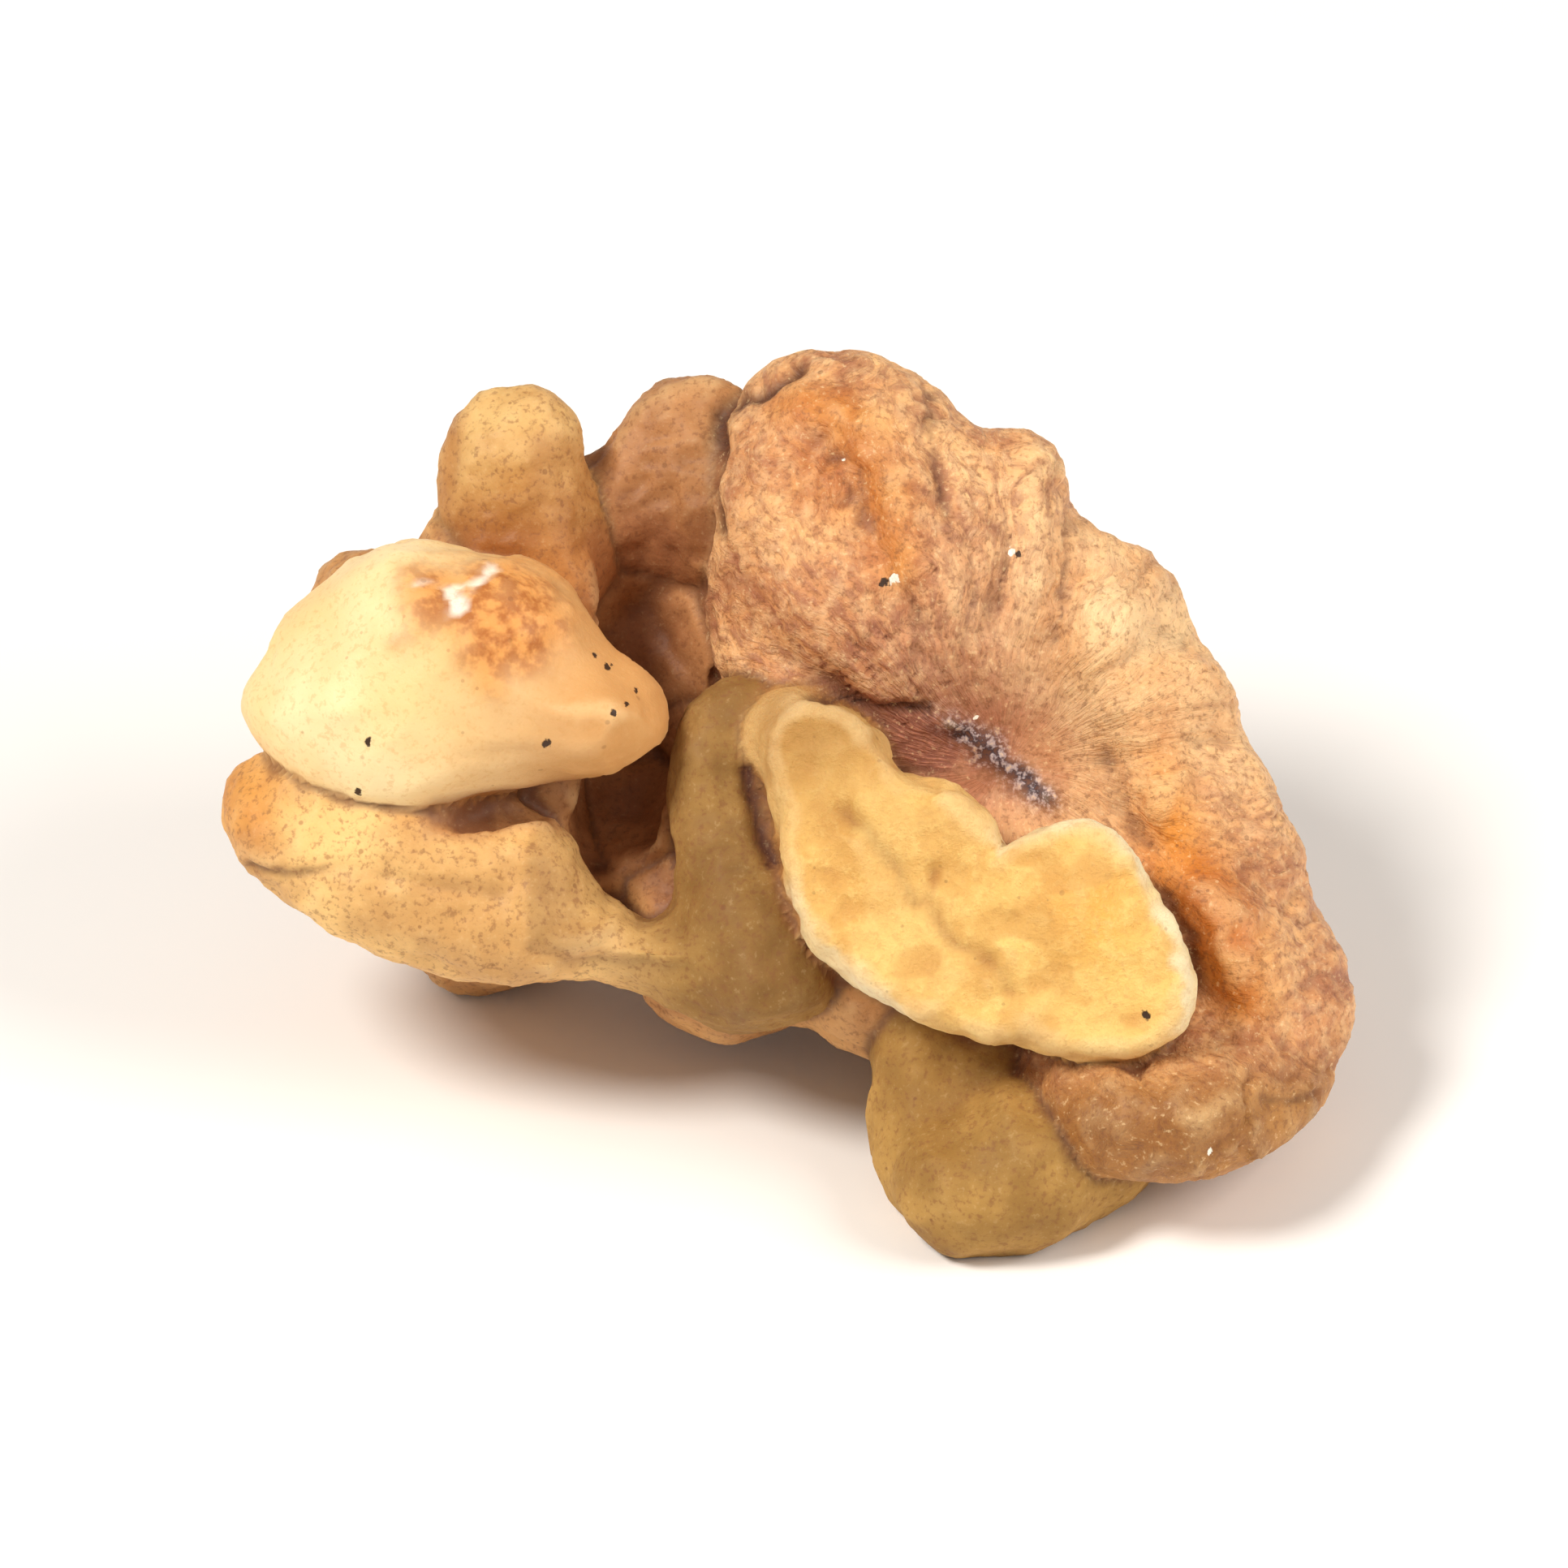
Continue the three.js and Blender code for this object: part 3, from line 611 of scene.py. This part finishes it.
# Fan: fibres and veins run out from the scar, and an orange fold with arcs lies at its top left
bearing = np.arctan2(up - SCAR[1], across - SCAR[0])
reach = np.hypot(across - SCAR[0], up - SCAR[1])
bent_bearing = bearing + 0.05 * noise_middle + 0.02 * noise_fine
fibre_noise = noise(bent_bearing * 11, reach * 0.28, 3.1) + 0.6 * noise(bent_bearing * 21, reach * 0.45, 9.4)
vein_level = noise(bent_bearing * 5.5, reach * 0.16, 7.7) + 0.25 * noise(bent_bearing * 14, reach * 0.5, 2.2)
fibre_strength = on_fan * smooth_ramp(reach, 0.8, 3.5)
SCAR_PATH = [(5.2, 16.9), (5.9, 16.2), (6.5, 15.5), (7.2, 14.9), (7.9, 14.2)]
scar = line(SCAR_PATH, 0.42, 0.3) * on_fan
ridge = line([(10.7, 16), (11.9, 13.6), (13.2, 11), (13.9, 8.6)], 1.1) * on_fan
groove = line([(9.6, 15.6), (10.7, 13.6), (11.9, 11.8), (12.9, 9.6)], 0.7) * on_fan
cross_wrinkle = noise(bearing * 5 + 2, reach * 1.9 + 0.5 * noise_middle, 5.5)
cross_strength = smooth_ramp(across, 8.5, 11.5) * smooth_ramp(18.5 - up, 0, 3) * on_fan
arc_gap = np.hypot((across - 1.9) * 1.25, (up - 23.6) * 0.8)
arcs = np.cos(arc_gap * 2 * math.pi / 0.62 + noise_middle)
arcs *= smooth_ramp(2.4 - arc_gap, 0, 1) * smooth_ramp(up, 22, 23.5)
bulge = line([(0.4, 26.3), (1.8, 26.1), (2.8, 25.2), (3.2, 24), (3.4, 22.6), (3.5, 21.4)], 0.75, 0.2) * on_fan
inner_arcs = hump(across, up, 1.5, 23.9, 1.6) * on_fan

# Veins and small furrows of the convex side
turn = np.array([[0.36, 0.48, -0.8], [-0.8, 0.6, 0.0], [0.48, 0.64, 0.6]])
bent = (points + 0.7 * bend_middle * np.array([1.0, -0.6, 0.8])) @ turn
furrow_level = noise(*(bent / 3.4 + 11).T)
vein_noise = np.minimum(np.abs(noise(*(bent / 2.3 + 5).T)), np.abs(noise(*(bent / 3.9 + 60).T)))
outer_veins = bell(vein_noise, 0.035) * (1 - 0.7 * front)

# Broken faces of the flakes, with a raised yellow bump and a thin raised rim
flake_inset = np.maximum(inset(LEFT_FLAKE_OUTLINE, 42), inset(RIGHT_FLAKE_OUTLINE, 36))
yellow_bump = hump(across, up, 9.2, 10.8, 1.6)

# A flat facet at the lip's right end
facet = smooth_ramp(inset([
    (-7.9, 13.2), (-7, 13.8), (-5.2, 12.4), (-3.9, 10.6), (-5.2, 10), (-7.4, 10.2), (-7.7, 11.6),
], 28), -0.05, 0.3) * on_lip

# Patch of skin left on the pale lobe, and beside it a small chipped spot, dented and painted near-white as a
# highlight
patch = smooth_ramp(inset([
    (-11.9, 20.6), (-11.5, 21.3), (-10, 21.9), (-7.5, 21.4), (-6.2, 20.4), (-6.6, 18.6), (-7.7, 17.9),
    (-8.9, 17.5), (-10.1, 18.3), (-11.2, 18.9), (-11.9, 18.8),
], 40) + 0.85 * noise_middle, -0.5, 1.3) * on_pale
chip_gap = np.minimum(
    line_gap([(-10.9, 20.9), (-10.1, 20.6), (-9.75, 19.8)]), line_gap([(-10.1, 20.6), (-8.9, 20.95)]) + 0.12)
chip_and_highlight = smooth_ramp(0.36 - chip_gap + 0.5 * grain, 0, 0.4) * on_pale

# Relief: each form with its height in millimetres and where it lies
leathery = ((1 - 0.72 * front) * shares["fan"] + 0.6 * shares["knob"] + shares["web"]
            + 0.4 * shares["outer"] + 0.55 * shares["lip"] + 0.35 * shares["foot"])
RELIEF = [
    (0.12, fibre_noise, fibre_strength),
    (0.05, grain, fibre_strength),
    (-0.12, bell(vein_level, 0.05), fibre_strength),
    (0.11, cross_wrinkle, cross_strength),
    (0.09, arcs, inner_arcs),
    (0.38, 1, bulge),
    (0.3, 1, ridge),
    (-0.3, 1, groove),
    (1, 0.2 + 0.35 * noise_fine, scar),
    (-0.1, line(SCAR_PATH, 0.9), on_fan),
    (0.06, grain - 1, shares["flakes"]),
    (0.08, chips, shares["flakes"]),
    (0.1, broken, shares["flakes"]),
    (0.05, broken_small, shares["flakes"]),
    (0.12, yellow_bump, shares["flakes"]),
    (0.1, bell(flake_inset - 0.5, 0.3), on_flakes),
    (0.07, noise_middle, shares["pale"]),
    (0.06, broken, shares["pale"]),
    (0.05, (1 + broken_small) * patch, shares["pale"]),
    (-0.1, chip_and_highlight, shares["pale"]),
    (0.05, noise_fine, leathery),
    (0.15, leather - 0.08 / 0.15, leathery),
    (0.05, outer_veins, shares["outer"]),
    (-0.1, 1 - smooth_ramp(np.abs(furrow_level), 0, 0.2), shares["outer"]),
    (0.15, noise_broad, shares["outer"]),
    (0.03, broken, shares["lip"] + shares["foot"]),
    (0.13, 1, facet),
    (0.2, planes - 0.5, shares["lip"] + shares["pale"] + shares["foot"] + 0.6 * skin_share),
    (-1, 1, groove_depth),
]
relief = sum(height * form * where for height, form, where in RELIEF)
skin.at += relief[:, None] * skin.normals()
skin.press_on_floor()

# Hollows and edges: how far each point lies under or over the skin smoothed round it, which sets the shade
# painted into the hollows and the highlight painted on raised edges
smoothed_skin = skin.smoothed(skin.at, 24)
hollow = skin.smoothed(np.einsum("ij,ij->i", smoothed_skin - skin.at, skin.normals()), 2)

skin.mesh.vertices.foreach_set("co", (skin.at * MM).ravel())
skin.mesh.name = "walnut_kernel_skin"
kernel = bpy.data.objects.new("walnut_kernel_skin", skin.mesh)
bpy.context.scene.collection.objects.link(kernel)
skin.mesh.shade_smooth()

# Masks by name, for the material
left_of_scar = smooth_ramp(inset([
    (0.9, 17.7), (4.8, 17.5), (5.6, 16.6), (5.4, 15.2), (4, 15), (2.6, 16.4),
], 24), -0.3, 0.4) * on_fan
# Painted shade in the fold between the web, the knob and the convex side
valley_shade = hump(across, up, -4.2, 18.4, 2.9) * (shares["web"] + shares["outer"] + 0.6 * shares["knob"])
rim = smooth_ramp(0.5 - flake_inset + 0.3 * noise_fine, 0, 0.3) * shares["flakes"]
white_rim = np.clip(line([(5.8, 12.7), (7.6, 13.5), (9.4, 13.5), (10.8, 12.6)], 0.75)
                    + line([(11.6, 11.2), (12.4, 9.7), (12, 8.2)], 0.55)
                    + line([(-0.2, 11.4), (0.7, 10.1), (1.9, 9.1), (3.4, 8.1)], 0.75), 0, 1)
# The knob is painted darker as shade at its lower part and its right side, and orange along its left edge
knob_right = smooth_ramp(across + 0.3 * noise_middle, -7.6, -6.9) * smooth_ramp(26 - up, 0, 1)
knob_shade_and_edge = np.max([
    0.9 * smooth_ramp(23.4 - up, -1, 2), 0.45 * knob_right, 0.6 * smooth_ramp(-9.1 - across, 0, 0.6)], axis=0)
orange = np.max([0.75 * bulge + 0.45 * inner_arcs, groove * 0.9, ridge], axis=0) * smooth_ramp(reach, 3, 6)
MASKS = {
    "pale": shares["pale"],
    "flakes": shares["flakes"],
    "fan": shares["fan"],
    "knob": shares["knob"],
    "web": shares["web"],
    "lip": shares["lip"],
    "foot": shares["foot"],
    # Painted shade on the recess walls and in the fold beside the web
    "recess": np.maximum(smooth_ramp(0.7 - shaded_recess_gap, 0, 0.9), np.clip(0.9 * valley_shade, 0, 1)),
    "right_of_lip": np.maximum(0.5 * facet, smooth_ramp(across, -5.5, -2.8)),
    "scar": scar,
    # The skin's own purplish tone round the scar, deepened by painted shade between the flake's top and the
    # scar
    "mauve_and_shade": np.maximum(0.8 * hump(across, up, 5.6, 16, 2.6) * on_fan, left_of_scar),
    "orange": orange,
    "patch": patch,
    # Chipped spot, painted near-white as a highlight
    "chip_and_highlight": chip_and_highlight,
    "rim": np.maximum(0.7 * rim * white_rim, 0.1 * rim),
    "right_of_pale": smooth_ramp(across, -12, -5) * shares["pale"],
    "yellow": np.clip(yellow_bump * 1.1, 0, 1),
    "khaki": hump(across, up, 0.9, 16.7, 2.5) * shares["flakes"],
    # Heights of the broken faces: raised faces get a painted highlight, the lowest small faces painted shade
    "break_highlight_level": 0.5 + 0.25 * broken,
    "small_break_shade_level": 0.5 + 0.25 * broken_small,
    "outer_veins": outer_veins * (1 - shares["pale"] - shares["flakes"]),
    "pink": hump(across, up, 5.6, 18.6, 3.4) * on_fan,
    "arcs": smooth_ramp(-arcs, 0.2, 0.9) * inner_arcs,
    # Depth under the smoothed skin: painted shade in the hollows, painted highlight on raised edges
    "hollow": np.clip(0.5 + hollow / 0.5, 0, 1),
    "grooves": groove_shade,
    # Painted shade in the grooves and where lobes meet
    "fibre_area": fibre_strength,
    "pale_top": hump(across, up, 10.5, 18.2, 4.4) * on_fan * smooth_ramp(reach, 1.3, 3)
    + smooth_ramp(up + 0.6 * noise_middle, 22.8, 25.2) * shares["web"],
    "dull_fan": smooth_ramp(8 - up, 0, 3) * on_fan,
    # The lip's orange end, and the knob's painted shade with its orange left edge
    "lip_tip_and_knob_shade": np.maximum(hump(across, up, -16.4, 14.6, 1.6) * shares["lip"], knob_shade_and_edge * shares["knob"]),
    "veins": bell(vein_level, 0.045) * fibre_strength,
}
MASK_NAMES = list(MASKS)


def store(name, channels):
    """Keeps up to three values of each point as one colour attribute."""
    values = np.zeros((len(points), 4), np.float32)
    values[:, 3] = 1.0
    for i, channel in enumerate(channels):
        values[:, i] = channel
    attribute = skin.mesh.attributes.new(name, "FLOAT_COLOR", "POINT")
    attribute.data.foreach_set("color", values.ravel())


for first in range(0, len(MASK_NAMES), 3):
    store(f"masks_{first}", [MASKS[name] for name in MASK_NAMES[first:first + 3]])
store("drawn", [across, up, 3 * (1 - front)])
store("fibres", [bent_bearing * 0.5 + 2, reach * 0.05])

# Marks smaller than the skin's own cells are drawn in the material: across, up, radius
PITS = [
    (-12.3, 16.3, 0.1), (-6.95, 16.3, 0.11), (-12.5, 14.85, 0.09), (10.8, 8.27, 0.15), (-5.2, 18.6, 0.09),
    (-4.6, 17.3, 0.07), (-5, 17, 0.06), (7.05, 21.4, 0.08), (3.15, 20.95, 0.1), (-5.6, 18.9, 0.05),
    (-4.3, 17.9, 0.05),
]
CRUMBS = [(3.45, 21.05, 0.15), (6.8, 21.5, 0.1), (12.7, 3.9, 0.09), (1.95, 24.6, 0.05), (5.95, 17, 0.06)]


# The kernel's material. Scales are in waves to a metre.
def shade(red, green, blue):
    """A colour as seen on a screen, 0 to 255, in the light's own measure."""
    def linear(value):
        value /= 255
        return value / 12.92 if value <= 0.04045 else ((value + 0.055) / 1.055) ** 2.4
    return (linear(red), linear(green), linear(blue), 1.0)


class Finish:
    """Short ways to add and join a material's nodes."""

    def __init__(self, name):
        self.material = bpy.data.materials.new(name)
        self.material.use_nodes = True
        self.nodes = self.material.node_tree.nodes
        self.links = self.material.node_tree.links
        self.shader = self.nodes["Principled BSDF"]

    def feed(self, socket, value):
        if isinstance(value, bpy.types.NodeSocket):
            self.links.new(value, socket)
        else:
            socket.default_value = value

    def own(self, **values):
        """Sets the shader's own sockets."""
        for name, value in values.items():
            self.feed(self.shader.inputs[name.replace("_", " ")], value)

    def attribute(self, name):
        node = self.nodes.new("ShaderNodeAttribute")
        node.attribute_name = name
        return node.outputs["Vector"]

    def masks(self):
        """Every mask's socket by its name."""
        found = {}
        for first in range(0, len(MASK_NAMES), 3):
            source = self.nodes.new("ShaderNodeAttribute")
            source.attribute_name = f"masks_{first}"
            split = self.nodes.new("ShaderNodeSeparateColor")
            self.links.new(source.outputs["Color"], split.inputs["Color"])
            found.update(zip(MASK_NAMES[first:first + 3], split.outputs))
        return found

    def mix(self, share, first, second):
        node = self.nodes.new("ShaderNodeMix")
        node.data_type = "RGBA"
        self.feed(node.inputs["Factor"], share)
        self.feed(node.inputs[6], first)
        self.feed(node.inputs[7], second)
        return node.outputs[2]

    def layers(self, tone, *steps):
        """A tone with others laid over it in turn, each given as its share, its strength and its tone."""
        for share, strength, over in steps:
            tone = self.mix(self.times(share, strength), tone, over)
        return tone

    def maths(self, kind, first, second):
        node = self.nodes.new("ShaderNodeMath")
        node.operation = kind
        self.feed(node.inputs[0], first)
        self.feed(node.inputs[1], second)
        return node.outputs[0]

    def times(self, first, second):
        return self.maths("MULTIPLY", first, second)

    def plus(self, first, second):
        return self.maths("ADD", first, second)

    def ramp(self, value, low, high, to_low=0.0, to_high=1.0):
        node = self.nodes.new("ShaderNodeMapRange")
        node.interpolation_type = "SMOOTHSTEP"
        for socket, given in zip(node.inputs, (value, low, high, to_low, to_high)):
            self.feed(socket, given)
        return node.outputs["Result"]

    def noise(self, scale, detail, roughness=0.55, place=None):
        node = self.nodes.new("ShaderNodeTexNoise")
        self.feed(node.inputs["Vector"], at if place is None else place)
        node.inputs["Scale"].default_value = scale
        node.inputs["Detail"].default_value = detail
        node.inputs["Roughness"].default_value = roughness
        return node.outputs["Fac"]

    def freckles(self, scale, size, share):
        """Small round marks, in some of the cells only."""
        node = self.nodes.new("ShaderNodeTexVoronoi")
        self.feed(node.inputs["Vector"], at)
        node.inputs["Scale"].default_value = scale
        split = self.nodes.new("ShaderNodeSeparateColor")
        self.links.new(node.outputs["Color"], split.inputs["Color"])
        chosen = self.maths("LESS_THAN", split.outputs["Red"], share)
        return self.times(self.ramp(node.outputs["Distance"], size, size * 0.6), chosen)

    def marks_gap(self, place, marks):
        """How far a place lies outside the nearest of some round marks: across, up, radius."""
        nearest = 10.0
        for across, up, radius in marks:
            apart = self.nodes.new("ShaderNodeVectorMath")
            apart.operation = "DISTANCE"
            apart.inputs[1].default_value = (across, up, 0)
            self.links.new(place, apart.inputs[0])
            nearest = self.maths("MINIMUM", nearest, self.maths("SUBTRACT", apart.outputs["Value"], radius))
        return nearest

    def bump(self, height, strength, distance, normal=None):
        node = self.nodes.new("ShaderNodeBump")
        node.inputs["Strength"].default_value = strength
        node.inputs["Distance"].default_value = distance
        self.feed(node.inputs["Height"], height)
        if normal is not None:
            self.feed(node.inputs["Normal"], normal)
        return node.outputs["Normal"]


f = Finish("walnut_skin_and_flesh")
at = f.nodes.new("ShaderNodeTexCoord").outputs["Object"]
mask = f.masks()
drawn = f.attribute("drawn")
stretch = f.nodes.new("ShaderNodeVectorMath")
stretch.operation = "MULTIPLY"
stretch.inputs[1].default_value = (60, 30, 0)
f.links.new(f.attribute("fibres"), stretch.inputs[0])

mottle = f.ramp(f.noise(330, 4), 0.36, 0.66)
cloud = f.ramp(f.noise(130, 3), 0.38, 0.64)
speckle = f.ramp(f.noise(1900, 2), 0.42, 0.68)
crumbly = f.noise(1500, 6, 0.75)
grains = f.noise(4600, 2, 0.7)
fibres = f.ramp(f.noise(1, 4, 0.6, stretch.outputs[0]), 0.38, 0.66)
brown_freckles = f.maths("MAXIMUM", f.freckles(1100, 0.12, 0.22), f.freckles(2300, 0.16, 0.1))
ragged = f.times(f.maths("SUBTRACT", f.noise(5200, 2), 0.5), 0.34)
pits = f.ramp(f.plus(f.marks_gap(drawn, PITS), ragged), 0.04, -0.02)
crumbs = f.ramp(f.plus(f.marks_gap(drawn, CRUMBS), ragged), 0.02, -0.02)


def mottled(dark, light, by=mottle):
    return f.mix(by, shade(*dark), shade(*light))


flesh = f.plus(mask["pale"], mask["flakes"])
column = f.times(mask["right_of_lip"], f.times(mask["lip"], 0.75))
matte = f.maths("MAXIMUM", f.times(mask["foot"], 0.75), column)
fibre_share = f.times(mask["fibre_area"], f.plus(f.times(mask["pink"], 0.3), 0.62))
web_tone = f.layers(
    mottled((140, 88, 50), (178, 122, 74)),
    (mask["pale_top"], 0.75, mottled((172, 116, 68), (202, 144, 90))))
fan_tone = f.layers(
    mottled((210, 146, 94), (240, 184, 124)),
    (mask["pink"], 0.75, mottled((196, 124, 90), (228, 162, 122))),
    (fibres, fibre_share, shade(152, 92, 70)),
    (speckle, 0.4, shade(246, 200, 146)),
    (mask["veins"], 0.6, shade(150, 86, 62)),
    (mask["pale_top"], 0.75, mottled((244, 192, 132), (254, 218, 164))),
    (mask["dull_fan"], 0.9, mottled((142, 90, 38), (178, 122, 58))),
    (mask["orange"], 1, mottled((190, 106, 34), (216, 136, 48))),
    (mask["arcs"], 0.5, shade(168, 98, 46)),
    # The skin's own purplish tone round the scar, deepened by painted shade between the flake's top and the
    # scar
    (mask["mauve_and_shade"], 1, mottled((130, 76, 58), (184, 120, 92), fibres)),
    (mask["scar"], 1, mottled((64, 50, 56), (176, 160, 160), f.ramp(grains, 0.46, 0.62))))
knob_tone = f.layers(
    mottled((190, 136, 72), (222, 178, 112)),
    # Painted shade on the knob's lower part and right side, and its orange left edge
    (mask["lip_tip_and_knob_shade"], 1, mottled((148, 84, 34), (178, 112, 50))))
lip_tone = f.layers(
    mottled((204, 154, 92), (240, 194, 124)),
    (mask["right_of_lip"], 1, mottled((134, 96, 46), (164, 124, 66))),
    (mask["lip_tip_and_knob_shade"], 0.8, mottled((192, 114, 36), (214, 140, 52))))
foot_tone = mottled((150, 110, 52), (182, 140, 74))
pale_tone = f.layers(
    mottled((242, 204, 142), (248, 224, 172), cloud),
    (mask["right_of_pale"], 1, mottled((198, 142, 82), (214, 158, 96), cloud)),
    (mask["patch"], 1, mottled((178, 106, 48), (226, 156, 84), f.ramp(f.noise(1500, 3, 0.6), 0.38, 0.6))),
    # The chipped spot painted near-white as a highlight
    (mask["chip_and_highlight"], 0.85, mottled((255, 240, 214), (255, 250, 236))))
flake_tone = f.layers(
    mottled((224, 170, 90), (244, 196, 112)),
    (mask["yellow"], 1, mottled((240, 176, 82), (250, 212, 116), cloud)),
    (f.ramp(crumbly, 0.46, 0.62), 0.45, shade(254, 216, 132)),
    # Painted highlight on raised broken faces, painted shade on the lowest small ones
    (f.ramp(mask["break_highlight_level"], 0.4, 0.75), 0.4, shade(246, 202, 124)),
    (f.ramp(mask["small_break_shade_level"], 0.5, 0.3), 0.35, shade(196, 134, 60)),
    (mask["khaki"], 0.9, mottled((172, 122, 58), (196, 146, 78))),
    (mask["rim"], 1, mottled((250, 228, 176), (253, 246, 214))))
fine_grain = f.ramp(flesh, 0, 1, 0.5, 0.3)
light_grain = f.times(f.ramp(grains, 0.58, 0.76), f.plus(f.times(mask["fan"], 0.7), 0.25))
# How strong the painted shade in the hollows and the painted highlight on raised edges are
in_hollows = f.ramp(f.plus(mask["web"], mask["knob"]), 0, 1, 0.8, 0.24)
edge_highlight_strength = f.ramp(matte, 0, 0.75, 0.3, 0.045)
tone = f.layers(
    mottled((178, 122, 70), (214, 160, 98)),
    (cloud, 0.5, shade(222, 168, 108)),
    (mask["outer_veins"], 0.6, shade(134, 84, 48)),
    (mask["web"], 1, web_tone),
    (mask["fan"], 1, fan_tone),
    (mask["knob"], 1, knob_tone),
    (mask["lip"], 1, lip_tone),
    (mask["foot"], 1, foot_tone),
    (mask["pale"], 1, pale_tone),
    (mask["flakes"], 1, flake_tone),
    # Painted shade in the recesses
    (mask["recess"], 0.7, mottled((140, 84, 54), (172, 108, 68))),
    # Painted shade in the hollows
    (f.ramp(mask["hollow"], 0.56, 0.9), in_hollows, mottled((112, 64, 40), (196, 128, 62), flesh)),
    # Painted highlight on the raised edges
    (f.ramp(mask["hollow"], 0.42, 0.15), edge_highlight_strength, shade(248, 216, 160)),
    # Painted shade in the grooves and where lobes meet
    (mask["grooves"], 1, shade(84, 48, 33)),
    (f.ramp(grains, 0.5, 0.3), fine_grain, mottled((128, 78, 46), (206, 150, 84), flesh)),
    (light_grain, fine_grain, shade(250, 214, 160)),
    (brown_freckles, fine_grain, shade(120, 74, 40)),
    (pits, 1, shade(62, 40, 24)),
    (crumbs, 1, shade(255, 246, 228)))

pitted_grain = f.maths("SUBTRACT", f.times(grains, f.ramp(flesh, 0, 1, 1, 0.8)), f.times(pits, 2))
normal = f.bump(f.plus(f.times(f.noise(2600, 3), 0.5), f.noise(900, 4)), 0.5, 0.06 * MM)
normal = f.bump(f.times(crumbly, mask["flakes"]), 0.9, 0.22 * MM, normal)
normal = f.bump(pitted_grain, 0.6, 0.04 * MM, normal)
normal = f.bump(f.times(fibres, mask["fibre_area"]), 0.6, 0.08 * MM, normal)
dullness = f.plus(f.ramp(flesh, 0, 1, 0.54, 0.5), f.ramp(matte, 0, 0.75, 0, 0.2))
f.own(
    Base_Color=tone, Normal=normal, Roughness=f.plus(f.times(mottle, 0.14), dullness),
    IOR=1.46, Specular_IOR_Level=0.35, Coat_Weight=0.03, Coat_Roughness=0.35,
    Subsurface_Weight=0.12, Subsurface_Radius=(1.0, 0.55, 0.3), Subsurface_Scale=0.9 * MM)
kernel.data.materials.append(f.material)

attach(kernel, "root")
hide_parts("walnut_kernel")

# Floor, light and camera
bm = bmesh.new()
bmesh.ops.create_grid(bm, x_segments=1, y_segments=1, size=FLOOR_SIZE)
floor_mesh = bpy.data.meshes.new("floor")
bm.to_mesh(floor_mesh)
bm.free()
floor = bpy.data.objects.new("floor", floor_mesh)
bpy.context.scene.collection.objects.link(floor)
paper = Finish("pale_floor")
paper.own(Base_Color=shade(246, 243, 239), Roughness=0.6)
floor.data.materials.append(paper.material)

low, high = packed_box
middle = (low + high) / 2


def aimed(name, data, from_middle):
    """An object that looks at the kernel's middle."""
    made = bpy.data.objects.new(name, data)
    made.location = middle + from_middle
    made.rotation_mode = "QUATERNION"
    made.rotation_quaternion = (-from_middle).to_track_quat("-Z", "Y")
    bpy.context.scene.collection.objects.link(made)
    return made


for name, from_middle, power, size, colour in (
    ("key", (-0.26, -0.14, 0.4), 2.2, 0.17, (1.0, 0.97, 0.93)),
    ("fill", (0.36, -0.12, 0.3), 1.5, 0.3, (1.0, 0.96, 0.92)),
):
    light = bpy.data.lights.new(name, "AREA")
    light.shape = "DISK"
    light.size = size
    light.energy = power
    light.color = colour
    aimed(name, light, Vector(from_middle))
world = bpy.data.worlds.new("studio")
bpy.context.scene.world = world
world.use_nodes = True
background = world.node_tree.nodes["Background"]
background.inputs["Color"].default_value = (1.0, 0.985, 0.96, 1.0)
background.inputs["Strength"].default_value = 0.33

camera_data = bpy.data.cameras.new("camera")
camera_data.sensor_width = SENSOR_WIDTH
camera_data.lens = SENSOR_WIDTH * CAMERA_DISTANCE / FRAME_WIDTH
camera_data.clip_start = 0.01
camera_data.clip_end = 20
back = Vector((0, -math.cos(CAMERA_ANGLE), math.sin(CAMERA_ANGLE)))
bpy.context.scene.camera = aimed("camera", camera_data, back * CAMERA_DISTANCE)
bpy.context.scene.view_settings.view_transform = "Standard"
